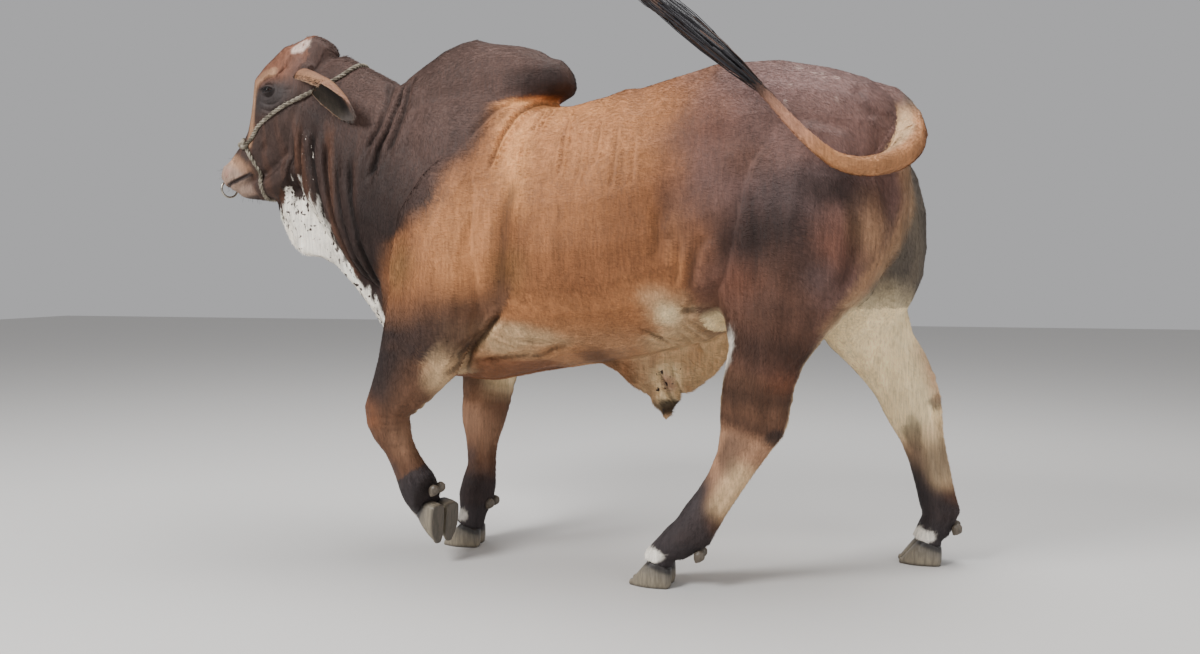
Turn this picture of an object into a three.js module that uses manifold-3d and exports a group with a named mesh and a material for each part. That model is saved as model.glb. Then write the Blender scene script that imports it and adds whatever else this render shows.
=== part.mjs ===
// A Brahman bull at life size, walking, with a rope halter and a ring in its nose.
// Millimetres, +Z up. The bull faces -X, its left side is at -Y, and its soles stand on Z = 0.
import * as THREE from "three";
import { mergeVertices } from "three/addons/utils/BufferGeometryUtils.js";
import Module from "manifold-3d";

const wasm = await Module();
wasm.setup();

// Shared sizes.
const GAP = 0.3;
const CUT = 0.35;
const LEFT = -1;
const RIGHT = 1;
const SIDES = { left: LEFT, right: RIGHT };
// The stance is drawn from a point under the heart girth. This moves it over the middle of its own box.
const BOX_MIDDLE = { x: -16, y: 33 };

// Sections of the flesh. x, y, z is the middle of a section. Along the body, up and down are its reach
// above and below that point. Down a limb, rear and fore are its reach to the back and to the front.
// half is the half width.
const TRUNK = [
  { x: -460, z: 935, up: 330, down: 300, half: 185 },
  { x: -340, z: 920, up: 425, down: 375, half: 250 },
  { x: -200, z: 925, up: 445, down: 380, half: 288 },
  { x: -40, z: 930, up: 442, down: 350, half: 318 },
  { x: 120, z: 935, up: 438, down: 330, half: 345 },
  { x: 280, z: 955, up: 460, down: 325, half: 352 },
  { x: 420, z: 1000, up: 453, down: 322, half: 335 },
  { x: 540, z: 1060, up: 424, down: 305, half: 302 },
  { x: 660, z: 1090, up: 395, down: 285, half: 282 },
  { x: 780, z: 1100, up: 353, down: 265, half: 265 },
  { x: 880, z: 1100, up: 322, down: 245, half: 235 },
  { x: 950, z: 1100, up: 270, down: 215, half: 185 },
];

const HUMP = [
  { x: -440, z: 1310, up: 171, down: 200, half: 128 },
  { x: -310, z: 1340, up: 217, down: 190, half: 152 },
  { x: -190, z: 1375, up: 216, down: 140, half: 150 },
  { x: -80, z: 1420, up: 137, down: 70, half: 132 },
  { x: -12, z: 1430, up: 86, down: 46, half: 104 },
];

// The muscle under the hump, which spreads to the shoulders and the neck.
const WITHERS = [
  { x: -520, z: 1150, up: 200, down: 150, half: 150 },
  { x: -400, z: 1160, up: 275, down: 200, half: 205 },
  { x: -260, z: 1170, up: 285, down: 200, half: 232 },
  { x: -110, z: 1180, up: 240, down: 200, half: 235 },
  { x: 30, z: 1180, up: 170, down: 150, half: 200 },
];

const NECK = [
  { x: -830, z: 1395, up: 205, down: 130, half: 98 },
  { x: -710, z: 1300, up: 234, down: 230, half: 138 },
  { x: -570, z: 1180, up: 285, down: 275, half: 182 },
  { x: -430, z: 1070, up: 330, down: 300, half: 235 },
  { x: -300, z: 1000, up: 300, down: 280, half: 240 },
];

// The dewlap hangs in the middle plane from the chin to the brisket. fore is how far its edge hangs out.
const DEWLAP = [
  { x: -935, z: 1150, rear: 80, fore: 30, half: 34 },
  { x: -880, z: 1085, rear: 90, fore: 86, half: 38 },
  { x: -800, z: 1015, rear: 90, fore: 118, half: 42 },
  { x: -757, z: 972, rear: 90, fore: 70, half: 43 },
  { x: -715, z: 930, rear: 90, fore: 54, half: 44 },
  { x: -630, z: 830, rear: 90, fore: 50, half: 46 },
  { x: -545, z: 730, rear: 90, fore: 56, half: 46 },
  { x: -455, z: 640, rear: 80, fore: 68, half: 42 },
  { x: -370, z: 590, rear: 60, fore: 58, half: 34 },
];
const DEWLAP_FOLDS = { count: 1.6, drift: 2.2, deep: 15, sway: 9 };

// The skull, from the poll down to the muzzle. fore is the face, rear the jaw.
const SKULL = [
  { x: -792, z: 1576, rear: 64, fore: 60, half: 64 },
  { x: -822, z: 1518, rear: 97, fore: 126, half: 90 },
  { x: -862, z: 1418, rear: 110, fore: 164, half: 114 },
  { x: -908, z: 1345, rear: 125, fore: 134, half: 105 },
  { x: -952, z: 1280, rear: 108, fore: 104, half: 86 },
  { x: -1000, z: 1222, rear: 70, fore: 94, half: 72 },
  { x: -1044, z: 1184, rear: 44, fore: 88, half: 68 },
  { x: -1080, z: 1158, rear: 34, fore: 74, half: 68 },
];
const LOWER_JAW = [
  { x: -860, z: 1210, up: 60, down: 52, half: 84 },
  { x: -940, z: 1165, up: 55, down: 38, half: 70 },
  { x: -1005, z: 1144, up: 40, down: 32, half: 56 },
  { x: -1058, z: 1134, up: 26, down: 27, half: 52 },
];
const MUZZLE = { at: [-1081, 0, 1190], radii: [64, 75, 54], lean: -0.5 };

const FORE_LEFT = [
  { x: -150, y: -140, z: 1250, rear: 70, fore: 70, half: 40 },
  { x: -225, y: -200, z: 1120, rear: 125, fore: 130, half: 76 },
  { x: -295, y: -236, z: 960, rear: 145, fore: 155, half: 84 },
  { x: -304, y: -248, z: 800, rear: 146, fore: 148, half: 82 },
  { x: -345, y: -243, z: 668, rear: 135, fore: 140, half: 72 },
  { x: -420, y: -228, z: 550, rear: 98, fore: 96, half: 60 },
  { x: -470, y: -214, z: 468, rear: 68, fore: 74, half: 58 },
  { x: -468, y: -205, z: 412, rear: 60, fore: 64, half: 54 },
  { x: -444, y: -192, z: 342, rear: 46, fore: 44, half: 40 },
  { x: -422, y: -180, z: 285, rear: 52, fore: 48, half: 42 },
  { x: -396, y: -170, z: 225, rear: 62, fore: 58, half: 52 },
];
const FORE_RIGHT = [
  { x: -150, y: 140, z: 1250, rear: 70, fore: 70, half: 40 },
  { x: -220, y: 200, z: 1120, rear: 125, fore: 130, half: 76 },
  { x: -275, y: 236, z: 960, rear: 145, fore: 155, half: 84 },
  { x: -275, y: 246, z: 800, rear: 140, fore: 145, half: 82 },
  { x: -285, y: 228, z: 665, rear: 118, fore: 125, half: 72 },
  { x: -300, y: 196, z: 555, rear: 96, fore: 104, half: 62 },
  { x: -303, y: 168, z: 462, rear: 82, fore: 84, half: 58 },
  { x: -307, y: 152, z: 400, rear: 74, fore: 80, half: 56 },
  { x: -309, y: 136, z: 318, rear: 52, fore: 54, half: 41 },
  { x: -306, y: 120, z: 250, rear: 47, fore: 48, half: 38 },
  { x: -316, y: 104, z: 172, rear: 60, fore: 60, half: 52 },
];
const HIND_LEFT = [
  { x: 745, y: -115, z: 1290, rear: 100, fore: 130, half: 80 },
  { x: 725, y: -158, z: 1180, rear: 195, fore: 205, half: 136 },
  { x: 705, y: -168, z: 1060, rear: 262, fore: 225, half: 160 },
  { x: 690, y: -172, z: 935, rear: 262, fore: 235, half: 164 },
  { x: 668, y: -190, z: 830, rear: 222, fore: 212, half: 142 },
  { x: 652, y: -218, z: 740, rear: 148, fore: 148, half: 106 },
  { x: 632, y: -236, z: 650, rear: 104, fore: 106, half: 76 },
  { x: 612, y: -238, z: 575, rear: 98, fore: 97, half: 58 },
  { x: 602, y: -232, z: 490, rear: 98, fore: 96, half: 54 },
  { x: 583, y: -226, z: 424, rear: 72, fore: 78, half: 50 },
  { x: 545, y: -219, z: 342, rear: 56, fore: 58, half: 42 },
  { x: 500, y: -212, z: 262, rear: 52, fore: 54, half: 39 },
  { x: 455, y: -206, z: 195, rear: 56, fore: 57, half: 45 },
  { x: 424, y: -203, z: 150, rear: 60, fore: 56, half: 53 },
];
const HIND_RIGHT = [
  { x: 790, y: 115, z: 1290, rear: 100, fore: 130, half: 80 },
  { x: 815, y: 158, z: 1180, rear: 190, fore: 215, half: 136 },
  { x: 840, y: 168, z: 1050, rear: 222, fore: 240, half: 160 },
  { x: 858, y: 172, z: 920, rear: 210, fore: 228, half: 164 },
  { x: 868, y: 190, z: 820, rear: 188, fore: 195, half: 142 },
  { x: 890, y: 216, z: 728, rear: 138, fore: 142, half: 104 },
  { x: 942, y: 232, z: 640, rear: 106, fore: 108, half: 76 },
  { x: 996, y: 234, z: 560, rear: 98, fore: 98, half: 60 },
  { x: 1022, y: 230, z: 495, rear: 92, fore: 90, half: 54 },
  { x: 1040, y: 226, z: 440, rear: 78, fore: 78, half: 50 },
  { x: 1066, y: 222, z: 360, rear: 62, fore: 62, half: 42 },
  { x: 1090, y: 220, z: 265, rear: 56, fore: 56, half: 39 },
  { x: 1108, y: 220, z: 190, rear: 56, fore: 56, half: 45 },
  { x: 1116, y: 220, z: 145, rear: 57, fore: 54, half: 53 },
];

// Each foot: the middle of its soles, how it is turned, and how far the dewclaws are from the fetlock.
const FEET = {
  fore_left: { at: [-322, -150, 128], pitch: -84, yaw: -28, leg: FORE_LEFT, dewclaw: [56, 4] },
  fore_right: { at: [-350, 84, 0], pitch: 0, yaw: 4, leg: FORE_RIGHT, dewclaw: [50, -38] },
  hind_left: { at: [320, -190, 0], pitch: 0, yaw: -2, leg: HIND_LEFT, dewclaw: [30, -56] },
  hind_right: { at: [1062, 218, 0], pitch: 0, yaw: 2, leg: HIND_RIGHT, dewclaw: [46, -36] },
};
// The last sections of a leg in its foot's own frame, where the toe points to -X and the sole is at Z = 0.
const PASTERN = { x: 22, z: 92, rear: 44, fore: 42, half: 45 };
const CORONET_RING = { x: 14, z: 54, rear: 46, fore: 50, half: 54 };
const CORONET_CUT = { front: [-14, 73], heel: [64, 46] };
const CLAW = [
  { x: -56, top: 16, half: 12 },
  { x: -38, top: 38, half: 21 },
  { x: -12, top: 68, half: 26 },
  { x: 16, top: 86, half: 27 },
  { x: 42, top: 80, half: 25 },
];
const CLAW_OUT = 28;
// The share of its height by which a claw is pressed into the ground, where its sole is cut level.
const CLAW_PRESSED = 0.08;
const DEWCLAW = { radii: [16, 12, 19], out: 25 };

const SHEATH = [
  { x: 120, z: 650, up: 60, down: 46, half: 38 },
  { x: 195, z: 640, up: 60, down: 72, half: 40 },
  { x: 265, z: 620, up: 70, down: 104, half: 42 },
  { x: 325, z: 600, up: 90, down: 104, half: 44 },
  { x: 390, z: 630, up: 90, down: 96, half: 40 },
  { x: 455, z: 680, up: 80, down: 78, half: 36 },
  { x: 530, z: 740, up: 60, down: 60, half: 32 },
];
const SHEATH_MOUTH = { at: [318, 0, 505], radii: [46, 40, 40] };
const SHEATH_TUFT = { count: 7, at: [326, 0, 500], r: 20, length: 74, wide: 15, thick: 7 };
const SCROTUM = [
  { x: 672, z: 850, rear: 50, fore: 50, half: 46 },
  { x: 668, z: 770, rear: 42, fore: 42, half: 46 },
  { x: 662, z: 690, rear: 58, fore: 58, half: 66 },
  { x: 660, z: 645, rear: 50, fore: 50, half: 60 },
];
// The dock of the tail, from the rump round past the left hip, with the radius at each place.
const TAIL = [
  { x: 860, y: 0, z: 1355, r: 62 },
  { x: 935, y: -12, z: 1345, r: 54 },
  { x: 985, y: -55, z: 1290, r: 48 },
  { x: 1000, y: -130, z: 1225, r: 44 },
  { x: 965, y: -235, z: 1170, r: 36 },
  { x: 895, y: -320, z: 1140, r: 28 },
  { x: 815, y: -368, z: 1150, r: 22 },
  { x: 735, y: -385, z: 1212, r: 17 },
  { x: 650, y: -388, z: 1305, r: 14 },
  { x: 560, y: -385, z: 1405, r: 13 },
  { x: 470, y: -382, z: 1478, r: 11 },
  { x: 385, y: -380, z: 1540, r: 8 },
];
// The hair of the switch: locks that root in the end of the dock, swell outward and meet near one tip.
const SWITCH = { count: 10, from: 0.84, tip: [228, -374, 1676], swell: 25, ragged: 70, wide: 26, thick: 9 };

const EYE = { at: [-917, 93, 1436], r: 21, lean: [-0.34, 0.1] };
const LID = { upper: 11, lower: -9, thick: 6 };
const BROW = { at: [-918, 91, 1438], r: 44, thick: 15, lean: [-0.34, 0.1] };
const NOSTRIL = { at: [-1126, 36, 1192], radii: [22, 9, 15], lean: -0.6, turn: 0.7 };
// The line where the lips meet, from a corner of the mouth to the front, found on the skin from outside.
const MOUTH = [
  { at: [-1012, 62, 1184] },
  { at: [-1052, 80, 1168] },
  { at: [-1092, 84, 1152] },
  { at: [-1128, 50, 1142] },
  { at: [-1140, 0, 1138] },
];
const MOUTH_AIM = [-1056, 1160];
const MOUTH_OPEN = 5;
// The middle line of the right ear, with the direction that its back faces, its width and how far it curls.
const EAR = [
  { at: [-808, 76, 1500], crown: [0.2, 0.6, 0.8], wide: 78, curl: 190 },
  { at: [-724, 188, 1472], crown: [0.36, -0.12, 0.85], wide: 126, curl: 205 },
  { at: [-667, 178, 1437], crown: [0.51, -0.5, 0.62], wide: 168, curl: 146 },
  { at: [-622, 166, 1384], crown: [0.59, -0.62, 0.56], wide: 154, curl: 104 },
  { at: [-592, 170, 1326], crown: [0.47, -0.68, 0.47], wide: 95, curl: 73 },
];
const EAR_THICK = 7;

// The halter, found on the skin from outside: each point is at a place, seen towards an aim in the middle.
const ROPE = { r: 7.5, sunk: 2.5 };
const KNOT = { at: [-1036, -84, 1284], aim: [-1020, 1250], radii: [19, 14, 17] };
const HEADSTALL = [
  { at: [-1036, -84, 1284], aim: [-1010, 1250] },
  { at: [-1004, -100, 1308], aim: [-980, 1280] },
  { at: [-969, -105, 1333], aim: [-950, 1310] },
  { at: [-920, -115, 1358], aim: [-905, 1340] },
  { at: [-872, -120, 1382], aim: [-860, 1370] },
  { at: [-820, -125, 1408], aim: [-812, 1400] },
  { at: [-768, -125, 1432], aim: [-765, 1420] },
  { at: [-715, -120, 1462], aim: [-720, 1420] },
  { at: [-672, -100, 1500], aim: [-690, 1410] },
  { at: [-645, -55, 1535], aim: [-675, 1400] },
  { at: [-636, 0, 1545], aim: [-670, 1400] },
];
const NOSEBAND = [
  { at: [-1036, -84, 1284], aim: [-1010, 1250] },
  { at: [-1058, -60, 1300], aim: [-1010, 1240] },
  { at: [-1068, -30, 1310], aim: [-1010, 1235] },
  { at: [-1072, 0, 1314], aim: [-1010, 1235] },
];
const CHINBAND = [
  { at: [-1036, -84, 1284], aim: [-1010, 1250] },
  { at: [-1008, -88, 1240], aim: [-990, 1220] },
  { at: [-982, -84, 1192], aim: [-975, 1180] },
  { at: [-976, -66, 1148], aim: [-974, 1160] },
  { at: [-976, -34, 1116], aim: [-974, 1160] },
  { at: [-976, 0, 1106], aim: [-974, 1160] },
];
const RING = { at: [-1130, 0, 1144], r: 27, wire: 3.5, turn: -0.5 };

const V = (x, y, z) => new THREE.Vector3(x, y, z);
const point = (p) => V(...p);

// A geometry whose faces share their vertices, so that it is closed.
function closed(geometry) {
  const bare = geometry.index ? geometry.toNonIndexed() : geometry.clone();
  bare.deleteAttribute("normal");
  bare.deleteAttribute("uv");
  return mergeVertices(bare, 1e-4);
}

// A closed geometry as a solid.
function solid(geometry) {
  const merged = geometry.attributes.uv ? closed(geometry) : geometry;
  return new wasm.Manifold(
    new wasm.Mesh({
      numProp: 3,
      vertProperties: new Float32Array(merged.attributes.position.array),
      triVerts: new Uint32Array(merged.index.array),
    }),
  );
}

function geometryOf(manifold) {
  const mesh = manifold.getMesh();
  const geometry = new THREE.BufferGeometry();
  const positions = new Float32Array(mesh.vertProperties);
  geometry.setAttribute("position", new THREE.BufferAttribute(positions, 3));
  geometry.setIndex(new THREE.BufferAttribute(new Uint32Array(mesh.triVerts), 1));
  return geometry;
}

const union = (solids) => solids.reduce((whole, piece) => whole.add(piece));
const signedPower = (value, power) => Math.sign(value) * Math.abs(value) ** power;

function largest(manifold) {
  return manifold.decompose().sort((a, b) => b.volume() - a.volume())[0];
}

// A closed tube of flesh through its sections, with rounded ends. The rows of a sphere are laid along
// the line of the middles, and each row takes the reach of its section.
function loft(sections, options = {}) {
  const { around = 20, along = 16, capStart = 30, capEnd = 30, full = 2, relief, across } = options;
  const rowsOfCap = Math.min(3, Math.floor(along / 4));
  const middle = new THREE.CatmullRomCurve3(sections.map((s) => V(s.x, s.y ?? 0, s.z)));
  const reach = new THREE.CatmullRomCurve3(
    sections.map((s) => V(s.r ?? s.up ?? s.rear, s.r ?? s.down ?? s.fore, s.r ?? s.half)),
  );
  const frames = across ? null : middle.computeFrenetFrames(along);
  const geometry = new THREE.SphereGeometry(1, around, along);
  const position = geometry.attributes.position;
  for (let k = 0; k < position.count; k += 1) {
    const row = Math.floor(k / (around + 1));
    const turn = (((k % (around + 1)) % around) / around) * 2 * Math.PI;
    const fromEnd = Math.min(row, along - row);
    const inCap = Math.min(fromEnd / rowsOfCap, 1) * (Math.PI / 2);
    const share = THREE.MathUtils.clamp((row - rowsOfCap) / (along - 2 * rowsOfCap), 0, 1);
    const ring = Math.sin(inCap);
    const centre = middle.getPoint(share);
    const ahead = middle.getTangent(share);
    const size = reach.getPoint(share);
    const reference = across ?? frames.binormals[Math.round(share * along)];
    const side = reference.clone().addScaledVector(ahead, -reference.dot(ahead)).normalize();
    const up = ahead.clone().cross(side);
    const cap = row < along / 2 ? -capStart : capEnd;
    centre.addScaledVector(ahead, cap * Math.cos(inCap));
    const c = -signedPower(Math.cos(turn), 2 / full);
    const s = signedPower(Math.sin(turn), 2 / full);
    const place = centre
      .clone()
      .addScaledVector(side, c * size.z * ring)
      .addScaledVector(up, s * (s > 0 ? size.x : size.y) * ring);
    if (relief) relief(place, { share, c, s, ring });
    position.setXYZ(k, place.x, place.y, place.z);
  }
  return solid(geometry);
}

const flesh = (sections, options) => loft(sections, { across: V(0, 1, 0), ...options });

function ellipsoid(at, radii, lean = 0, segments = 16) {
  const geometry = closed(new THREE.SphereGeometry(1, segments, Math.round(segments * 0.7)));
  geometry.scale(...radii);
  geometry.rotateY(lean);
  geometry.translate(...at);
  return solid(geometry);
}

// A plate in a plane that holds the Y axis, from one point of the side view to another.
function sidePlate({ from, to, wide }) {
  const along = V(to[0] - from[0], 0, to[1] - from[1]);
  const geometry = closed(new THREE.BoxGeometry(along.length(), wide, CUT));
  geometry.rotateY(-Math.atan2(along.z, along.x));
  geometry.translate((from[0] + to[0]) / 2, 0, (from[1] + to[1]) / 2);
  return solid(geometry);
}

// A level plate across a limb, at a share of the way from one of its sections to the next.
function limbPlate(sections, { after, share, wide, deep, shift = 0 }) {
  const [start, end] = [after, after + 1].map((k) => V(sections[k].x, sections[k].y, sections[k].z));
  const at = start.lerp(end, share);
  const geometry = closed(new THREE.BoxGeometry(deep, wide, CUT));
  geometry.translate(at.x, at.y + shift, at.z);
  return solid(geometry);
}

// A round plate across the tail or the root of an ear.
function disc(at, normal, r) {
  const geometry = closed(new THREE.CylinderGeometry(r, r, CUT, 20));
  const turn = new THREE.Quaternion().setFromUnitVectors(V(0, 1, 0), normal.clone().normalize());
  geometry.applyQuaternion(turn);
  geometry.translate(at.x, at.y, at.z);
  return solid(geometry);
}

// The directions at one side of the head: outward, to the front and upward, square to each other.
function faceDirections(side, lean) {
  const outward = V(lean[0], side, lean[1]).normalize();
  const front = V(-1, 0, 0).addScaledVector(outward, outward.x).normalize();
  const upward = V(0, 0, 1).addScaledVector(outward, -outward.z);
  upward.addScaledVector(front, -upward.dot(front)).normalize();
  return { outward, front, upward };
}

// A ridge along an arc in the face, from one angle to another. 0 degrees is to the front, 90 is up.
function arcRidge({ at, r, high, rise, thick, from, to, side, lean }) {
  const { outward, front, upward } = faceDirections(side, lean);
  const steps = 6;
  const sections = [];
  for (let i = 0; i <= steps; i += 1) {
    const angle = THREE.MathUtils.degToRad(from + ((to - from) * i) / steps);
    const place = at
      .clone()
      .addScaledVector(front, r * Math.cos(angle))
      .addScaledVector(upward, high * Math.sin(angle))
      .addScaledVector(outward, rise(Math.cos(angle), Math.sin(angle)));
    const taper = 0.5 + 0.5 * Math.sin((Math.PI * i) / steps);
    sections.push({ x: place.x, y: place.y, z: place.z, r: thick * taper });
  }
  return loft(sections, { around: 6, along: 8, capStart: thick * 0.4, capEnd: thick * 0.4 });
}

// The folds of the dewlap run along it and drift to its edge, which sways from side to side.
function dewlapRelief(place, { share, s, ring }) {
  const hanging = Math.max(0, -s) * ring;
  const { count, drift, deep, sway } = DEWLAP_FOLDS;
  place.y += deep * hanging * Math.sin(Math.PI * (count * 2 * -s + drift * share));
  place.y += sway * hanging * Math.sin(2 * Math.PI * drift * share);
}

// A foot's own frame, placed in the world.
function footFrame({ at, pitch, yaw }) {
  const turned = new THREE.Matrix4().makeRotationZ(THREE.MathUtils.degToRad(yaw));
  turned.multiply(new THREE.Matrix4().makeRotationY(THREE.MathUtils.degToRad(pitch)));
  return new THREE.Matrix4().makeTranslation(...at).multiply(turned);
}

// A leg from the body to the coronet, in one piece.
function legFlesh(size) {
  const frame = footFrame(size);
  const ends = [PASTERN, CORONET_RING].map((s) => {
    const place = V(s.x, 0, s.z).applyMatrix4(frame);
    return { ...s, x: place.x, y: place.y, z: place.z };
  });
  const sections = [...size.leg, ...ends];
  return flesh(sections, { around: 12, along: 26, capStart: 60, capEnd: 14, full: 2.15 });
}

// The room below the coronet of a foot, moved along its own normal.
function belowCoronet(frame, lift) {
  const { front, heel } = CORONET_CUT;
  const box = closed(new THREE.BoxGeometry(220, 190, 160));
  box.translate(0, 0, -80 + lift);
  box.rotateY(Math.atan2(front[1] - heel[1], heel[0] - front[0]));
  box.translate((front[0] + heel[0]) / 2, 0, (front[1] + heel[1]) / 2);
  return solid(box.applyMatrix4(frame));
}

function claw(side, size) {
  const sections = CLAW.map((s) => ({
    x: s.x,
    y: side * CLAW_OUT * Math.min(1, 0.75 + (s.x - CLAW[0].x) / 200),
    z: s.top * (0.5 - CLAW_PRESSED),
    up: s.top * (0.5 + CLAW_PRESSED),
    down: s.top * (0.5 + CLAW_PRESSED),
    half: s.half,
  }));
  const relief = (place) => {
    place.z = Math.max(place.z, 0);
  };
  const frame = footFrame(size);
  const options = { around: 8, along: 8, capStart: 9, capEnd: 16, full: 2.8, relief };
  const whole = flesh(sections, options).transform(frame.elements);
  return largest(whole.intersect(belowCoronet(frame, -GAP / 2)));
}

function dewclaw(side, { leg, dewclaw }, grow) {
  const fetlock = leg[leg.length - 1];
  const at = [fetlock.x + dewclaw[0], fetlock.y + side * DEWCLAW.out, fetlock.z + dewclaw[1]];
  return ellipsoid(at, DEWCLAW.radii.map((r) => r + grow), 0.5, 6);
}

// A flat lock of hair that tapers, bends and streams from its root. Its broad side faces a direction.
function lock({ root, tip, bend, facing, wide, thick }) {
  const sections = [0, 0.3, 0.65, 1].map((share) => {
    const place = root.clone().lerp(tip, share).addScaledVector(bend, Math.sin(Math.PI * share));
    const taper = 1 - 0.85 * share ** 2;
    const depth = (thick / 2) * taper;
    return { x: place.x, y: place.y, z: place.z, up: depth, down: depth, half: (wide / 2) * taper };
  });
  const across = tip.clone().sub(root).cross(facing).normalize();
  return loft(sections, { around: 4, along: 5, capStart: 4, capEnd: 8, across });
}

// Draws that come out the same on every run.
function draws(seed) {
  let state = seed;
  return () => {
    state = (state * 1664525 + 1013904223) % 4294967296;
    return state / 4294967296;
  };
}

const GOLDEN_TURN = Math.PI * (3 - Math.sqrt(5));

function switchLocks() {
  const { count, from, tip, swell, ragged, wide, thick } = SWITCH;
  const draw = draws(11);
  const dock = tailLine();
  const along = dock.getTangent(1);
  const side = V(0, 1, 0);
  const up = along.clone().cross(side).normalize();
  return Array.from({ length: count }, (_, i) => {
    const outward = side.clone().multiplyScalar(Math.cos(i * GOLDEN_TURN));
    outward.addScaledVector(up, Math.sin(i * GOLDEN_TURN));
    const root = dock.getPoint(from + ((0.98 - from) * i) / count).addScaledVector(outward, 3);
    const short = ragged * draw() * (i / count);
    const end = point(tip).addScaledVector(outward, 6 + 10 * draw()).addScaledVector(along, -short);
    const bend = outward.clone().multiplyScalar(swell * (0.75 + 0.4 * draw()));
    return lock({ root, tip: end, bend, facing: outward, wide: wide * (0.8 + 0.4 * draw()), thick });
  });
}

function sheathTuft() {
  const { count, at, r, length, wide, thick } = SHEATH_TUFT;
  const draw = draws(5);
  return Array.from({ length: count }, (_, i) => {
    const outward = V(Math.cos(i * GOLDEN_TURN), Math.sin(i * GOLDEN_TURN), 0);
    const reach = r * Math.sqrt((i + 0.5) / count);
    const root = point(at).addScaledVector(outward, reach);
    const fall = V(-6, 0, -length * (0.7 + 0.3 * draw()));
    const tip = root.clone().add(fall).addScaledVector(outward, -0.3 * reach);
    return lock({ root, tip, bend: outward.clone().multiplyScalar(6), facing: outward, wide, thick });
  });
}

function ear(side, grow) {
  const places = EAR.map((s) => ({ ...s, at: V(s.at[0], side * s.at[1], s.at[2]) }));
  const middle = new THREE.CatmullRomCurve3(places.map((s) => s.at));
  const crown = new THREE.CatmullRomCurve3(
    places.map((s) => V(s.crown[0], side * s.crown[1], s.crown[2])),
  );
  const form = new THREE.CatmullRomCurve3(EAR.map((s) => V(s.wide, s.curl, 0)));
  const around = 14;
  const along = 10;
  const geometry = new THREE.SphereGeometry(1, around, along);
  const position = geometry.attributes.position;
  for (let k = 0; k < position.count; k += 1) {
    const row = Math.floor(k / (around + 1));
    const turn = (((k % (around + 1)) % around) / around) * 2 * Math.PI;
    const share = row / along;
    const ring = row % along === 0 ? 0 : Math.sin(share * Math.PI);
    const swell = Math.sqrt(1 - Math.abs(2 * share - 1) ** 6);
    const shape = form.getPoint(share);
    const ahead = middle.getTangent(share);
    const out = crown.getPoint(share);
    out.addScaledVector(ahead, -out.dot(ahead)).normalize();
    const edge = out.clone().cross(ahead);
    const curl = THREE.MathUtils.degToRad(shape.y);
    const bow = (shape.x * Math.min(1, swell + 0.1)) / curl;
    const atRim = ring > 0 && Math.abs(Math.cos(turn)) > 0.99;
    const angle = -Math.cos(turn) * (swell * (curl / 2) + (atRim ? (2 * grow) / bow : 0));
    const level = bow + Math.sin(turn) * (EAR_THICK / 2 + grow) * Math.min(1, ring * 3);
    const place = middle
      .getPoint(share)
      .addScaledVector(out, level * Math.cos(angle) - bow)
      .addScaledVector(edge, level * Math.sin(angle));
    position.setXYZ(k, place.x, place.y, place.z);
  }
  return solid(geometry);
}

// The head: skull, lower jaw and muzzle with brows and lids, then mouth, nostrils and eye sockets cut in.
function headFlesh() {
  const pieces = [
    flesh(SKULL, { around: 22, along: 16, capStart: 36, capEnd: 30, full: 2.3 }),
    flesh(LOWER_JAW, { around: 16, along: 10, capStart: 40, capEnd: 26, full: 2.2 }),
    ellipsoid(MUZZLE.at, MUZZLE.radii, MUZZLE.lean, 16),
  ];
  for (const side of [LEFT, RIGHT]) {
    const brow = V(BROW.at[0], side * BROW.at[1], BROW.at[2]);
    const shape = { at: brow, r: BROW.r, high: BROW.r, rise: () => 0, thick: BROW.thick };
    pieces.push(arcRidge({ ...shape, from: 140, to: -60, side, lean: BROW.lean }));
  }
  return union(pieces);
}

function eyelids(side) {
  const at = V(EYE.at[0], side * EYE.at[1], EYE.at[2]);
  return [LID.upper, LID.lower].map((high) => {
    const r = EYE.r + 1;
    const rise = (c, s) => Math.sqrt(Math.max(0, r * r - (0.93 * r * c) ** 2 - (high * s) ** 2));
    const shape = { at, r: 0.93 * r, high, rise, thick: LID.thick, from: 180, to: 0 };
    return arcRidge({ ...shape, side, lean: EYE.lean });
  });
}

function eyeball(side, r) {
  const geometry = closed(new THREE.SphereGeometry(r, 12, 7));
  geometry.rotateX(Math.PI / 2);
  geometry.translate(EYE.at[0], side * EYE.at[1], EYE.at[2]);
  return solid(geometry);
}

// A groove round the muzzle, where the lips meet.
function mouthGroove(mesh) {
  const guides = MOUTH.map(({ at }) => ({ at, aim: MOUTH_AIM }));
  const route = onSkin(mesh, bothSides(guides), -MOUTH_OPEN * 0.2);
  const radii = route.map((p, i) => (i % (route.length - 1) ? MOUTH_OPEN : MOUTH_OPEN * 0.6));
  return tube(route, radii, 13);
}

function nostril(side) {
  const geometry = closed(new THREE.SphereGeometry(1, 9, 6));
  geometry.scale(...NOSTRIL.radii);
  geometry.rotateY(NOSTRIL.lean);
  geometry.rotateZ(side * NOSTRIL.turn);
  geometry.translate(NOSTRIL.at[0], side * NOSTRIL.at[1], NOSTRIL.at[2]);
  return solid(geometry);
}

function noseRing(wire) {
  const geometry = closed(new THREE.TorusGeometry(RING.r, wire, 6, 18));
  geometry.rotateY(Math.PI / 2);
  geometry.rotateZ(RING.turn);
  geometry.translate(...RING.at);
  return solid(geometry);
}

// Where rays from outside, towards the middle plane, meet the skin, moved outward by a distance.
function onSkin(mesh, guides, out) {
  return guides.map(({ at, aim }) => {
    const target = V(aim[0], 0, aim[1]);
    const from = target.clone().lerp(point(at), 3);
    const ahead = target.clone().sub(from).normalize();
    const hit = new THREE.Raycaster(from, ahead).intersectObject(mesh)[0];
    if (!hit) throw new Error("no skin below " + at);
    return hit.point.clone().addScaledVector(ahead, -out);
  });
}

function tube(route, radii, along) {
  const sections = route.map((p, i) => ({ x: p.x, y: p.y, z: p.z, r: radii[i] }));
  return loft(sections, { around: 6, along, capStart: 1, capEnd: 1 });
}

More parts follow.
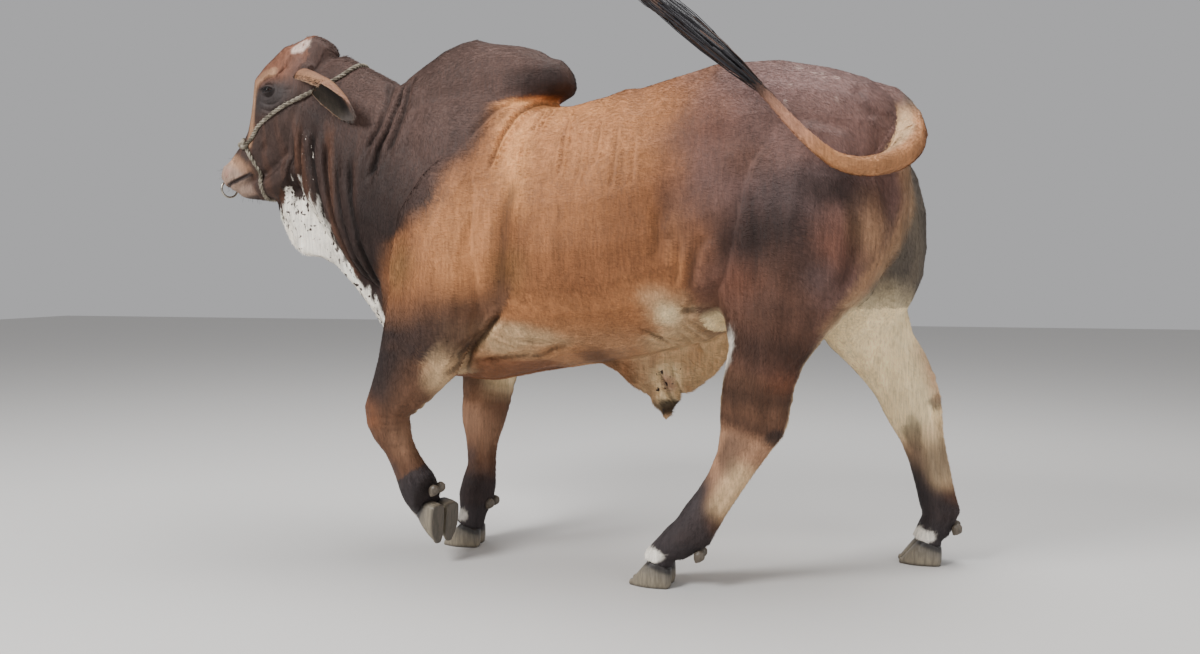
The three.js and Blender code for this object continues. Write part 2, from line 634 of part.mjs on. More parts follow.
// A route that runs on over the middle plane to the same places on the other side.
const bothSides = (guides) => [
  ...guides,
  ...guides.slice(0, -1).reverse().map(({ at, aim }) => ({ at: [at[0], -at[1], at[2]], aim })),
];

function halterRope(mesh, guides, grow, along) {
  const route = onSkin(mesh, bothSides(guides), ROPE.r - ROPE.sunk);
  return tube(route, route.map(() => ROPE.r + grow), along);
}

function halterKnot(mesh, side, grow) {
  const at = [KNOT.at[0], -side * KNOT.at[1], KNOT.at[2]];
  const [place] = onSkin(mesh, [{ at, aim: KNOT.aim }], KNOT.radii[1] - ROPE.sunk);
  return ellipsoid(place.toArray(), KNOT.radii.map((r) => r + grow), 0.4, 7);
}

const material = (colour, roughness = 0.8, metalness = 0) =>
  new THREE.MeshStandardMaterial({ color: colour, roughness, metalness });

const COAT = {
  tan: material(0xa8703f),
  dark: material(0x5c463f),
  rump: material(0x73504a),
  pale: material(0xd9cbb4),
  grey: material(0x4a4543),
  horn: material(0x8f8a7c, 0.55),
  eye: material(0x120c0a, 0.12),
  rope: material(0x9b9b84, 0.9),
  metal: material(0xb9bcc0, 0.3, 1),
};
const LOOKS = {
  dark: ["head", "neck", "hump", "forearm", "cannon"],
  rump: ["rump", "gaskin"],
  pale: ["dewlap", "sheath", "scrotum"],
  grey: ["pastern", "hock", "tail_switch"],
};

function lookOf(name) {
  const look = Object.keys(LOOKS).find((key) => LOOKS[key].some((start) => name.startsWith(start)));
  return COAT[look ?? "tan"];
}

// The whole animal as one piece of flesh.
function wholeFlesh() {
  const pieces = [
    flesh(TRUNK, { around: 24, along: 18, capStart: 110, capEnd: 62, full: 2.15 }),
    flesh(WITHERS, { around: 16, along: 10, capStart: 60, capEnd: 80 }),
    flesh(HUMP, { around: 18, along: 14, capStart: 90, capEnd: 56, full: 2.2 }),
    flesh(NECK, { around: 20, along: 12, capStart: 30, capEnd: 60, full: 2.1 }),
    flesh(DEWLAP, { around: 12, along: 16, capStart: 16, capEnd: 40, full: 1.8, relief: dewlapRelief }),
    flesh(SHEATH, { around: 12, along: 13, capStart: 60, capEnd: 40, full: 1.8 }),
    ellipsoid(SHEATH_MOUTH.at, SHEATH_MOUTH.radii, -0.5, 12),
    ...sheathTuft(),
    flesh(SCROTUM, { around: 12, along: 10, capStart: 20, capEnd: 42 }),
    headFlesh(),
    ...Object.values(FEET).map(legFlesh),
  ];
  return union(pieces);
}

// Where the flesh is parted, as lines in the side view with the width of the plate.
const PARTINGS = {
  headFromNeck: { from: [-722, 1640], to: [-878, 1146], wide: 340 },
  jawFromDewlap: { from: [-1024, 1094], to: [-878, 1149], wide: 150 },
  neckFromDewlap: { from: [-880, 1150], to: [-380, 496], wide: 180 },
  neckFromChest: { from: [-505, 1600], to: [-655, 852], wide: 640 },
  humpFromChest: { from: [-560, 1402], to: [90, 1379], wide: 420 },
  chestFromBarrel: { from: [24, 1388], to: [24, 480], wide: 820 },
  barrelFromRump: { from: [430, 1475], to: [430, 655], wide: 820 },
  sheathFromBelly: { from: [60, 568], to: [600, 699], wide: 190 },
  scrotumFromRump: { from: [598, 722], to: [735, 734], wide: 150 },
};
const LIMB_PARTINGS = {
  fore_left: [
    { after: 4, share: 0.62, wide: 170, deep: 340 },
    { after: 7, share: 0.35, wide: 150, deep: 180 },
    { after: 9, share: 0.45, wide: 130, deep: 170 },
  ],
  fore_right: [
    { after: 4, share: 0.92, wide: 168, deep: 300 },
    { after: 7, share: 0.35, wide: 150, deep: 200 },
    { after: 9, share: 0.45, wide: 130, deep: 170 },
  ],
  hind_left: [
    { after: 5, share: 0.4, wide: 240, deep: 330, shift: -6 },
    { after: 9, share: 0.45, wide: 150, deep: 210 },
    { after: 11, share: 0.55, wide: 130, deep: 160 },
  ],
  hind_right: [
    { after: 5, share: 0.45, wide: 240, deep: 330, shift: 6 },
    { after: 9, share: 0.45, wide: 150, deep: 210 },
    { after: 11, share: 0.6, wide: 130, deep: 160 },
  ],
};
const TAIL_PARTINGS = { tail_root: 0.42, tail_middle: 0.62, tail_end: 0.78, tail_switch: 1 };
const LIMB_NODES = { fore: ["forearm", "cannon", "pastern"], hind: ["gaskin", "hock", "pastern"] };

function partingPlates() {
  return union([
    ...Object.values(PARTINGS).map(sidePlate),
    ...Object.keys(FEET).flatMap((name) => LIMB_PARTINGS[name].map((p) => limbPlate(FEET[name].leg, p))),
  ]);
}

const tailLine = () => new THREE.CatmullRomCurve3(TAIL.map((s) => V(s.x, s.y, s.z)));

// The dock of the tail, whole and thicker by an amount.
function tailDock(grow) {
  const sections = TAIL.map((s) => ({ ...s, r: s.r + grow }));
  return loft(sections, { around: 8, along: 26, capStart: 40, capEnd: 20 });
}

// A point inside each node of the flesh.
function seeds() {
  const at = {
    head: V(-930, 0, 1330),
    neck: V(-700, 0, 1290),
    hump: V(-200, 0, 1450),
    chest: V(-250, 0, 1000),
    barrel: V(250, 0, 1000),
    rump: V(650, 0, 1150),
    dewlap: V(-800, 0, 1000),
    sheath: V(325, 0, 560),
    scrotum: V(662, 0, 690),
  };
  for (const [name, size] of Object.entries(FEET)) {
    const partings = LIMB_PARTINGS[name];
    const kinds = LIMB_NODES[name.split("_")[0]];
    const sectionAt = (k) => V(size.leg[k].x, size.leg[k].y, size.leg[k].z);
    at[kinds[0] + "_" + name] = sectionAt(partings[0].after + 1);
    at[kinds[1] + "_" + name] = sectionAt(partings[1].after + 1);
    at[kinds[2] + "_" + name] = V(PASTERN.x, 0, PASTERN.z).applyMatrix4(footFrame(size));
  }
  return at;
}

// Parts a solid by plates and gives each piece the name of the point that it holds.
function parted(whole, plates, seeds) {
  const pieces = whole.subtract(plates).decompose();
  const named = {};
  for (const [name, seed] of Object.entries(seeds)) {
    const ball = ellipsoid(seed.toArray(), [3, 3, 3], 0, 6);
    const found = pieces.findIndex((piece) => piece.intersect(ball).volume() > 1);
    if (found < 0) throw new Error("no flesh at the point of " + name);
    const twin = Object.keys(named).find((other) => named[other] === pieces[found]);
    if (twin) throw new Error(name + " and " + twin + " are one piece");
    named[name] = pieces[found];
  }
  return named;
}

function partedTail() {
  const line = tailLine();
  const cuts = Object.values(TAIL_PARTINGS).slice(0, -1);
  const plates = union(cuts.map((share) => disc(line.getPoint(share), line.getTangent(share), 62)));
  const points = Object.entries(TAIL_PARTINGS).map(([name, end]) => [name, line.getPoint(end - 0.08)]);
  return parted(tailDock(0), plates, Object.fromEntries(points));
}

const root = new THREE.Group();
root.position.set(BOX_MIDDLE.x, BOX_MIDDLE.y, 0);
function add(name, manifold, look) {
  const mesh = new THREE.Mesh(geometryOf(manifold), look);
  mesh.name = name;
  root.add(mesh);
}

let whole = wholeFlesh();
const skin = new THREE.Mesh(geometryOf(whole));
const ropes = {
  halter_headstall: (grow) => halterRope(skin, HEADSTALL, grow, 21),
  halter_nose: (grow) => halterRope(skin, NOSEBAND, grow, 10),
  halter_chin: (grow) => halterRope(skin, CHINBAND, grow, 13),
};
const knots = {
  halter_knot_left: (grow) => halterKnot(skin, LEFT, grow),
  halter_knot_right: (grow) => halterKnot(skin, RIGHT, grow),
};
whole = union([whole, ...eyelids(LEFT), ...eyelids(RIGHT)]);
whole = whole.subtract(mouthGroove(skin)).subtract(noseRing(RING.wire + GAP)).subtract(tailDock(GAP));
for (const worn of [...Object.values(ropes), ...Object.values(knots)]) whole = whole.subtract(worn(GAP));
for (const side of [LEFT, RIGHT]) {
  whole = whole.subtract(eyeball(side, EYE.r + GAP)).subtract(nostril(side)).subtract(ear(side, GAP));
}
for (const size of Object.values(FEET)) {
  whole = whole.subtract(belowCoronet(footFrame(size), GAP / 2));
  for (const side of [LEFT, RIGHT]) whole = whole.subtract(dewclaw(side, size, GAP));
}
const nodes = { ...parted(whole, partingPlates(), seeds()), ...partedTail() };
nodes.tail_switch = union([nodes.tail_switch, ...switchLocks()]);
for (const [name, piece] of Object.entries(nodes)) add(name, largest(piece), lookOf(name));

for (const [name, size] of Object.entries(FEET)) {
  for (const [word, side] of Object.entries(SIDES)) {
    add("claw_" + name + "_" + word, claw(side, size), COAT.horn);
    add("dewclaw_" + name + "_" + word, dewclaw(side, size, 0), COAT.horn);
  }
}
const allKnots = union(Object.values(knots).map((knot) => knot(GAP)));
const allRopes = union(Object.values(ropes).map((rope) => rope(GAP)));
for (const [word, side] of Object.entries(SIDES)) {
  add("ear_" + word, largest(ear(side, 0).subtract(allRopes)), COAT.dark);
  add("eye_" + word, eyeball(side, EYE.r), COAT.eye);
}
for (const [name, rope] of Object.entries(ropes)) add(name, largest(rope(0).subtract(allKnots)), COAT.rope);
for (const [name, knot] of Object.entries(knots)) add(name, knot(0), COAT.rope);
add("nose_ring", noseRing(RING.wire), COAT.metal);

export default root;
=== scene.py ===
"""A Brahman bull: its hide, coat, eyes, ears, hooves and halter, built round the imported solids."""

import math

import bmesh
import bpy
import numpy as np
from bpy.props import FloatProperty, FloatVectorProperty, IntProperty, PointerProperty
from mathutils import Matrix, Vector
from mathutils.bvhtree import BVHTree


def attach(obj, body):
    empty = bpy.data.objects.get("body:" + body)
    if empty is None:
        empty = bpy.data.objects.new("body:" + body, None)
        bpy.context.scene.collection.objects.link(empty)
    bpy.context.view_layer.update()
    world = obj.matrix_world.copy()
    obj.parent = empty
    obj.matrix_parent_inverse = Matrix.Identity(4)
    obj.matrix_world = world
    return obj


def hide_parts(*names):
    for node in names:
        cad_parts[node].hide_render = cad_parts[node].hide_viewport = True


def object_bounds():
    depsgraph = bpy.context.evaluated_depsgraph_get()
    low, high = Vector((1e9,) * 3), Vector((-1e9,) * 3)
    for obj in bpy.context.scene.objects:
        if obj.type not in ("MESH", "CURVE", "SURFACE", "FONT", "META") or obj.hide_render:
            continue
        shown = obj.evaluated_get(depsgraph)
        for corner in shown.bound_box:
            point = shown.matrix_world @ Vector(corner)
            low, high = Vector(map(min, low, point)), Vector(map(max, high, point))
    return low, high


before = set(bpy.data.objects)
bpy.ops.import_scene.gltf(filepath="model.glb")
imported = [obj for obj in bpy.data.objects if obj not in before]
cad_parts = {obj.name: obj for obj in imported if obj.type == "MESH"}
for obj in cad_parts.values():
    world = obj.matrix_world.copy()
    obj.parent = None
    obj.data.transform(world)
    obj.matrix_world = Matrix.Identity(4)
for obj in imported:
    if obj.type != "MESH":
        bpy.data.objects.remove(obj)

CAD_BOX = [list(corner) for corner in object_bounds()]

bl_info = {
    "name": "Brahman bull",
    "version": (1, 0, 0),
    "blender": (4, 5, 0),
    "location": "3D View > Sidebar > Bull",
    "description": "Builds a life-size Brahman bull piece by piece",
    "category": "Add Mesh",
}

# The photo's camera: its place, its turn from straight across, its tilt down, its lens and its sensor's width.
CAMERA_AT = (0.855, -2.988, 0.88)
CAMERA_TURN, CAMERA_TILT = math.radians(14), math.atan(57 / 1039)
LENS, SENSOR = 31.17, 36
# The studio's lamps: place, the point that each faces, size in metres and watts.
LAMPS = {
    "key": ((-3.0, -4.0, 4.6), (0.1, 0, 0.8), 1.8, 420),
    "top": ((0.8, 0.4, 4.8), (0.2, 0, 1.0), 3.0, 200),
    "fill": ((4.2, -3.0, 1.6), (0.5, 0, 0.8), 3.0, 55),
}
SKY, SKY_STRENGTH = (0.90, 0.90, 0.92, 1), 0.5

# Drawing coordinates are millimetres: the bull faces -X, its left side is at -Y and the soles are at Z = 0.
# The middle plane of the bull is at Y = 0 there, and the row frame is shifted from it by this much.
BOX_MIDDLE = np.array([-16.0, 33.0, 0.0])

SIDES = ((-1, "left"), (1, "right"))
FLESH = ["head", "neck", "hump", "chest", "barrel", "rump", "dewlap", "sheath", "scrotum"]
FLESH += ["tail_root", "tail_middle", "tail_end"]
LIMBS = {"fore": ["forearm", "cannon", "pastern"], "hind": ["gaskin", "hock", "pastern"]}
FEET = {
    "fore_left": {"at": (-322, -150, 128), "pitch": -84, "yaw": -28, "dewclaw": (56, 4)},
    "fore_right": {"at": (-350, 84, 0), "pitch": 0, "yaw": 4, "dewclaw": (50, -38)},
    "hind_left": {"at": (320, -190, 0), "pitch": 0, "yaw": -2, "dewclaw": (30, -56)},
    "hind_right": {"at": (1062, 218, 0), "pitch": 0, "yaw": 2, "dewclaw": (46, -36)},
}
for foot in FEET:
    FLESH += [part + "_" + foot for part in LIMBS[foot.split("_")[0]]]

# The middle line of each leg from the elbow or stifle down to the fetlock, with its reach fore and aft.
LEGS = {
    "fore_left": [(-345, -243, 668, 138), (-420, -228, 550, 97), (-470, -214, 468, 71), (-468, -205, 412, 62),
                  (-444, -192, 342, 45), (-422, -180, 285, 50), (-396, -170, 225, 60), (-372, -160, 170, 50)],
    "fore_right": [(-285, 228, 665, 122), (-300, 196, 555, 100), (-303, 168, 462, 83), (-307, 152, 400, 77),
                   (-309, 136, 318, 53), (-306, 120, 250, 48), (-316, 104, 172, 60), (-335, 92, 90, 50)],
    "hind_left": [(652, -218, 740, 148), (632, -236, 650, 105), (612, -238, 575, 98), (602, -232, 490, 97),
                  (583, -226, 424, 75), (545, -219, 342, 57), (500, -212, 262, 53), (455, -206, 195, 56),
                  (424, -203, 150, 58), (370, -196, 90, 50)],
    "hind_right": [(890, 216, 728, 140), (942, 232, 640, 107), (996, 234, 560, 98), (1022, 230, 495, 91),
                   (1040, 226, 440, 78), (1066, 222, 360, 62), (1090, 220, 265, 56), (1108, 220, 190, 56),
                   (1116, 220, 145, 56), (1090, 219, 90, 50)],
}
TAIL = [
    (860, 0, 1355, 62), (935, -12, 1345, 54), (985, -55, 1290, 48), (1000, -130, 1225, 44),
    (965, -235, 1170, 36), (895, -320, 1140, 28), (815, -368, 1150, 22), (735, -385, 1212, 17),
    (650, -388, 1305, 14), (560, -385, 1405, 13), (470, -382, 1478, 11), (385, -380, 1540, 8),
]
SWITCH_TIP = (228, -374, 1676)
# The middle of each fetlock, where the leg ends and the foot begins.
LEG_ENDS = {"fore_left": (-396, -170, 225), "fore_right": (-316, 104, 172),
            "hind_left": (424, -203, 150), "hind_right": (1116, 220, 145)}
# The middle of the left eyeball, and how far its outward direction leans forward and up.
EYE_AT = (-917, 93, 1436)
EYE_LEAN = (-0.34, 0.1)
# The opening between the lids: half its length, the rise of each lid's edge, and how far its front corner hangs.
OPENING = {"reach": 19.5, "upper": 6.0, "lower": 5.6, "slant": 1.5}
SPINE = [(-1140, 0, 1160), (-1000, 0, 1225), (-880, 0, 1380), (-720, 0, 1280), (-500, 0, 1080),
         (-200, 0, 980), (300, 0, 985), (700, 0, 1080), (1000, 0, 1080)]

# Creases and folds in the skin, as lines in the side view, each with its half width and depth.
CREASES = [
    # In front of the hump, down over the neck.
    ([(-532, 1475), (-512, 1375), (-530, 1296), (-556, 1221)], 9, 12),
    ([(-476, 1470), (-484, 1390), (-500, 1295), (-522, 1204), (-548, 1130)], 9, 15),
    ([(-446, 1470), (-455, 1387), (-464, 1309), (-478, 1202)], 9, 10),
    # Down the side of the neck, from the jaw to the edge of the dewlap.
    ([(-757, 1330), (-760, 1216), (-749, 1125), (-738, 1049), (-712, 960)], 10, 13),
    ([(-709, 1310), (-707, 1153), (-689, 1047), (-655, 941), (-628, 830)], 10, 14),
    ([(-612, 1240), (-606, 1088), (-581, 969), (-562, 865), (-530, 780)], 10, 13),
    ([(-660, 1230), (-656, 1100), (-634, 990), (-608, 890), (-590, 800)], 9, 10),
    ([(-806, 1342), (-822, 1221), (-836, 1140), (-820, 1060)], 9, 10),
    ([(-840, 1300), (-868, 1200), (-880, 1130)], 7, 6),
    # Under the hump's rear, and the stretch creases that fan from it over the shoulder.
    ([(30, 1384), (-33, 1371), (-65, 1349), (-98, 1300), (-124, 1229), (-149, 1128)], 8, 9),
    ([(-100, 1366), (-160, 1330), (-214, 1250)], 9, 6),
    ([(-18, 1350), (-20, 1310), (-30, 1262)], 6, 6),
    ([(5, 1352), (-2, 1310), (-12, 1270)], 6, 6),
    ([(58, 1340), (76, 1276), (77, 1130)], 6, 6),
    ([(-46, 1250), (-40, 1180), (-34, 1110)], 6, 4),
    # Fine creases over the ribs.
    ([(128, 1300), (134, 1210), (126, 1100)], 6, 3),
    ([(176, 1310), (180, 1230), (172, 1150)], 6, 3),
    ([(226, 1290), (232, 1190), (222, 1080)], 6, 3),
    ([(276, 1280), (284, 1180), (280, 1100)], 6, 2.5),
    # Behind the shoulder blade.
    ([(-60, 1150), (-82, 1000), (-92, 870), (-104, 770)], 26, 9),
    # The flank, between the last rib and the thigh.
    ([(484, 985), (452, 900), (430, 806)], 15, 7),
    ([(362, 1060), (358, 980), (350, 900)], 16, 4),
    ([(420, 960), (404, 880), (396, 830)], 9, 6),
    ([(402, 772), (424, 768), (446, 776)], 12, 12),
    # The fold of the armpit, and the folds along the belly behind it.
    ([(-92, 775), (-106, 754), (-150, 715), (-223, 643), (-240, 612), (-290, 560)], 9, 14),
    ([(-236, 612), (-160, 622), (-75, 632), (-5, 642), (40, 662), (115, 668)], 7, 10),
    ([(-150, 712), (-110, 685), (-60, 662)], 5, 4),
    ([(-170, 700), (-130, 672), (-84, 652)], 5, 4),
    ([(-95, 684), (0, 676), (110, 680)], 6, 6),
    # The web between the sheath and the flank.
    ([(408, 748), (445, 722), (484, 700)], 6, 6),
    ([(400, 728), (432, 700), (466, 664)], 6, 6),
    ([(392, 708), (416, 672), (440, 630)], 6, 6),
    ([(300, 706), (350, 684), (392, 652)], 6, 6),
    ([(276, 724), (330, 694), (378, 640)], 6, 6),
    ([(300, 600), (325, 540), (356, 470)], 7, 9),
    ([(340, 612), (356, 550), (374, 486)], 6, 6),
    # Beside the root of the tail, and between the muscles of the thigh.
    ([(846, 1376), (880, 1330), (906, 1268)], 15, 6),
    ([(790, 1140), (856, 1010), (848, 900), (790, 800)], 24, 8),
    ([(560, 1120), (610, 1000), (600, 880), (570, 800)], 30, 6),
]
# Ridges that stand out, in the same form.
RIDGES = [
    ([(-500, 1465), (-498, 1385), (-515, 1295), (-540, 1210)], 13, 6),
    ([(-560, 1460), (-545, 1380), (-560, 1300)], 13, 4),
    ([(-733, 1310), (-734, 1180), (-718, 1080), (-690, 990)], 13, 7),
    ([(-636, 1230), (-632, 1090), (-608, 970), (-586, 870)], 14, 7),
    ([(-682, 1230), (-680, 1100), (-660, 1000), (-634, 900)], 12, 6),
    ([(-785, 1320), (-790, 1210), (-786, 1130), (-776, 1050)], 13, 7),
    ([(10, 1396), (-50, 1388), (-110, 1378), (-180, 1352)], 9, 6),
    ([(500, 960), (470, 880), (452, 820)], 12, 7),
    ([(392, 960), (380, 880)], 12, 4),
    ([(-196, 590), (-130, 600), (-40, 608)], 12, 4),
]
# Soft swells and hollows of muscle and bone on both sides: x, z, their radii, the turn and the height.
SWELLS = [
    (-310, 900, 110, 190, -12, 12), (-250, 1120, 110, 150, 20, 8), (-420, 960, 70, 110, 0, -9),
    (-120, 820, 50, 150, -10, -8), (-330, 700, 90, 70, 0, 7), (60, 900, 200, 220, 0, 5),
    (480, 1290, 80, 40, -15, 12), (440, 1140, 90, 120, 0, -12), (620, 1120, 120, 150, 0, 7),
    (760, 1000, 90, 190, 5, 8), (900, 930, 40, 170, 8, -8), (860, 1130, 60, 90, 0, 8),
    (560, 850, 70, 110, -15, 10), (690, 830, 70, 110, 10, 5), (400, 1000, 60, 160, 8, -9),
    (-560, 1000, 80, 130, 25, 5), (300, 1220, 200, 80, 8, -6), (230, 760, 190, 90, 0, 4),
]


def drawn(points):
    """Row frame in metres to drawing millimetres."""
    return np.asarray(points, float) * 1000 - BOX_MIDDLE


def placed(points):
    """Drawing millimetres to the row frame in metres."""
    return (np.asarray(points, float) + BOX_MIDDLE) / 1000


def boxed(points):
    """Row frame points kept inside the box of the solids, so that no hair reaches past it."""
    return np.clip(points, CAD_BOX[0], CAD_BOX[1])


def linear(colour):
    """A colour as seen, 0 to 255, as linear light."""
    c = np.asarray(colour, float) / 255
    return np.where(c <= 0.04045, c / 12.92, ((c + 0.055) / 1.055) ** 2.4)


def ease(low, high, value):
    t = np.clip((np.asarray(value, float) - low) / (high - low), 0, 1)
    return t * t * (3 - 2 * t)


def hill(value, middle, wide):
    """1 at the middle, falling off like a bell."""
    return np.exp(-(((value - middle) / wide) ** 2))


def unit(way):
    """Directions of length 1, from one or from rows of them."""
    return way / np.maximum(np.linalg.norm(way, axis=-1, keepdims=True), 1e-9)


def mirrored(p):
    """Points with the right side folded onto the left one's place."""
    return np.column_stack([p[:, 0], np.abs(p[:, 1]), p[:, 2]])


def shade(name):
    """A colour of the bull as linear light: the panel's own where it offers one."""
    own = getattr(bpy.context.scene.bull_colours, name, None)
    return linear(PAINT[name]) if own is None else np.array(own)


def over(colour, name, share):
    """A colour with a share of a named one laid over it."""
    return colour + (shade(name) - colour) * share


def mm(name):
    """A length of the panel, in millimetres."""
    return getattr(bpy.context.scene.bull_sizes, name) * 1000


LATTICES = {}


def grain(points, size, seed=0):
    """Smooth noise from -1 to 1 with grains of a size in millimetres, or a size along each axis."""
    if seed not in LATTICES:
        LATTICES[seed] = np.random.default_rng(seed).random((32, 32, 32))
    q = points / np.asarray(size, float) + 7.3
    cell = np.floor(q).astype(int)
    f = q - cell
    f = f * f * (3 - 2 * f)
    total = np.zeros(len(points))
    for dx in (0, 1):
        for dy in (0, 1):
            for dz in (0, 1):
                share = np.abs(1 - dx - f[:, 0]) * np.abs(1 - dy - f[:, 1]) * np.abs(1 - dz - f[:, 2])
                total += share * LATTICES[seed][(cell[:, 0] + dx) & 31, (cell[:, 1] + dy) & 31, (cell[:, 2] + dz) & 31]
    return total * 2 - 1


def line_distance(points, line):
    """Distance of 2D points from a line of points, and the share of its length at the nearest place."""
    line = np.asarray(line, float)
    lengths = np.linalg.norm(np.diff(line, axis=0), axis=1)
    before = np.concatenate([[0], np.cumsum(lengths)])
    nearest = np.full(len(points), 1e9)
    share = np.zeros(len(points))
    for k, length in enumerate(lengths):
        ahead = (line[k + 1] - line[k]) / length
        t = np.clip((points - line[k]) @ ahead, 0, length)
        d = np.linalg.norm(points - line[k] - t[:, None] * ahead, axis=1)
        closer = d < nearest
        nearest = np.where(closer, d, nearest)
        share = np.where(closer, (before[k] + t) / before[-1], share)
    return nearest, share


def smooth_line(points, count):
    """A smooth curve through points, as evenly timed samples."""
    p = np.asarray(points, float)
    p = np.vstack([2 * p[0] - p[1], p, 2 * p[-1] - p[-2]])
    t = np.linspace(0, len(p) - 3 - 1e-9, count)
    k = t.astype(int)
    f = (t - k)[:, None]
    a, b, c, d = p[k], p[k + 1], p[k + 2], p[k + 3]
    return 0.5 * (2 * b + (c - a) * f + (2 * a - 5 * b + 4 * c - d) * f ** 2 + (3 * b - a - 3 * c + d) * f ** 3)


def curve_space(points, line):
    """For each point the nearest place along a line: its share, and the offset from it."""
    line = np.asarray(line, float)[:, :3]
    best = np.full(len(points), 1e9)
    share = np.zeros(len(points))
    offset = np.zeros((len(points), 3))
    for k in range(len(line) - 1):
        ahead = line[k + 1] - line[k]
        t = np.clip((points - line[k]) @ ahead / (ahead @ ahead), 0, 1)
        off = points - line[k] - t[:, None] * ahead
        d = np.linalg.norm(off, axis=1)
        closer = d < best
        best = np.where(closer, d, best)
        share = np.where(closer, k + t, share)
        offset = np.where(closer[:, None], off, offset)
    return share, offset, best


def tail_space(points):
    """The share down the tail of 90 samples, the offset and distance from its line, and its radius there."""
    line = smooth_line(TAIL, 90)
    share, offset, distance = curve_space(points, line)
    return share, offset, distance, np.interp(share, np.arange(90), line[:, 3])


def leg_space(points, name):
    """Where points are on a leg: the section down it, forward and outward offsets, and whether they are on it."""
    line = np.array(LEGS[name], float)
    share, offset, distance = curve_space(points, line)
    reach = np.interp(share, np.arange(len(line)), line[:, 3])
    side = -1 if name.endswith("left") else 1
    on = (distance < 1.5 * reach) & (points[:, 2] < line[0, 2] + 40) & (side * points[:, 1] > -30)
    return share, -offset[:, 0] / reach, side * offset[:, 1] / (0.7 * reach), on


class Hide:
    """The finished hide, for pieces that grow from it or lie on it."""

    skin = tree = None


# How far each solid of the flesh is swollen before they are joined, in metres.
SWOLLEN = 0.0005
# Balls of flesh below the ear and behind the eyeball of the left side: place and radius.
KNOBS = ((-812, 74, 1492, 31), (-790, 96, 1496, 27), (-800, 84, 1478, 28), (-917, 88, 1436, 24))


def flesh_copy():
    """The flesh nodes, the dock inside the switch and the knobs of the head, as one object."""
    whole = bmesh.new()
    for name in FLESH:
        piece = bmesh.new()
        piece.from_mesh(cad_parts[name].data)
        bmesh.ops.remove_doubles(piece, verts=piece.verts, dist=1e-5)
        piece.normal_update()
        for v in piece.verts:
            v.co += v.normal * SWOLLEN
        join_in(whole, piece)
    balls = [(p[:3], p[3] / 1000 + 0.003, 1) for p in smooth_line(TAIL, 60)[42:]]
    for side, _ in SIDES:
        balls += [((x, side * y, z), r / 1000, 2) for x, y, z, r in KNOBS]
    for at, r, fine in balls:
        bmesh.ops.create_icosphere(whole, subdivisions=fine, radius=r, matrix=Matrix.Translation(placed(at)))
    body = bpy.data.objects.new("hide", as_mesh(whole, "hide"))
    bpy.context.scene.collection.objects.link(body)
    return body


def as_mesh(bm, name):
    mesh = bpy.data.meshes.new(name)
    bm.to_mesh(mesh)
    bm.free()
    return mesh


def join_in(whole, bm):
    """Adds a bmesh to another and frees it."""
    mesh = as_mesh(bm, "joined")
    whole.from_mesh(mesh)
    bpy.data.meshes.remove(mesh)


def reworked(mesh, *steps):
    """Runs steps that take a bmesh on a mesh."""
    bm = bmesh.new()
    bm.from_mesh(mesh)
    for step in steps:
        step(bm)
    bm.to_mesh(mesh)
    bm.free()


def apply_modifiers(obj):
    graph = bpy.context.evaluated_depsgraph_get()
    mesh = bpy.data.meshes.new_from_object(obj.evaluated_get(graph))
    obj.modifiers.clear()
    old = obj.data
    obj.data = mesh
    bpy.data.meshes.remove(old)
    mesh.name = obj.name


def keep_largest(bm):
    """Removes loose scraps, such as a pocket closed in by the remesh."""
    seen, groups = set(), []
    for start in bm.verts:
        if start in seen:
            continue
        group, front = [], [start]
        seen.add(start)
        while front:
            v = front.pop()
            group.append(v)
            for e in v.link_edges:
                w = e.other_vert(v)
                if w not in seen:
                    seen.add(w)
                    front.append(w)
        groups.append(group)
    groups.sort(key=len)
    scraps = [v for group in groups[:-1] for v in group]
    bmesh.ops.delete(bm, geom=scraps, context="VERTS")


def refine(bm, inside):
    """Cuts the edges of faces whose middle is inside in two, where inside takes drawing points."""
    faces = list(bm.faces)
    middles = drawn([f.calc_center_median() for f in faces])
    chosen = inside(middles)
    edges = {e for f, take in zip(faces, chosen) if take for e in f.edges}
    bmesh.ops.subdivide_edges(bm, edges=list(edges), cuts=1, use_grid_fill=True)


def near(points, at, r):
    return np.linalg.norm(points - np.asarray(at, float), axis=1) < r


def on_head(p):
    """Faces of the skull, in front of the poll, the ears and the throat."""
    rear = np.interp(p[:, 2], (1090, 1180, 1300, 1480, 1600), (-950, -880, -830, -778, -740))
    return (p[:, 0] < rear) & (p[:, 2] > 1080)


def head_detail(p):
    """The muzzle, and the surroundings of the eyes."""
    return near(mirrored(p), (-1092, 20, 1170), 105) | near(mirrored(p), EYE_AT, 75)


def throat_detail(p):
    """The ragged edge of the white on the throat and down the dewlap."""
    on = line_distance(side_view(p), [(-800, 1290), (-815, 1130), (-700, 870), (-560, 700)])[0] < 95
    return on & (np.abs(p[:, 1]) < 190)


def feet_detail(p):
    return (p[:, 2] < 175) | near(p, (-372, -160, 170), 130)


def tail_detail(p):
    line = smooth_line(TAIL, 60)
    return (curve_space(p, line)[2] < 62) & ((p[:, 1] < -150) | (p[:, 0] > 1020))


def relax(points, edges, rounds, strength):
    """Evens out a surface without shrinking it much. strength may differ from point to point."""
    a, b = edges[:, 0], edges[:, 1]
    count = np.bincount(a, minlength=len(points)) + np.bincount(b, minlength=len(points))
    count = np.maximum(count, 1)[:, None]
    for _ in range(rounds):
        for pull in (strength, -0.95 * strength):
            total = np.zeros_like(points)
            for axis in range(3):
                total[:, axis] = np.bincount(a, points[b, axis], len(points))
                total[:, axis] += np.bincount(b, points[a, axis], len(points))
            points = points + (total / count - points) * np.reshape(pull, (-1, 1))
    return points


def read(items, key, width, kind=float):
    """A property of mesh elements as an array with a row for each."""
    flat = np.empty(len(items) * width, kind)
    items.foreach_get(key, flat)
    return flat.reshape(-1, width)


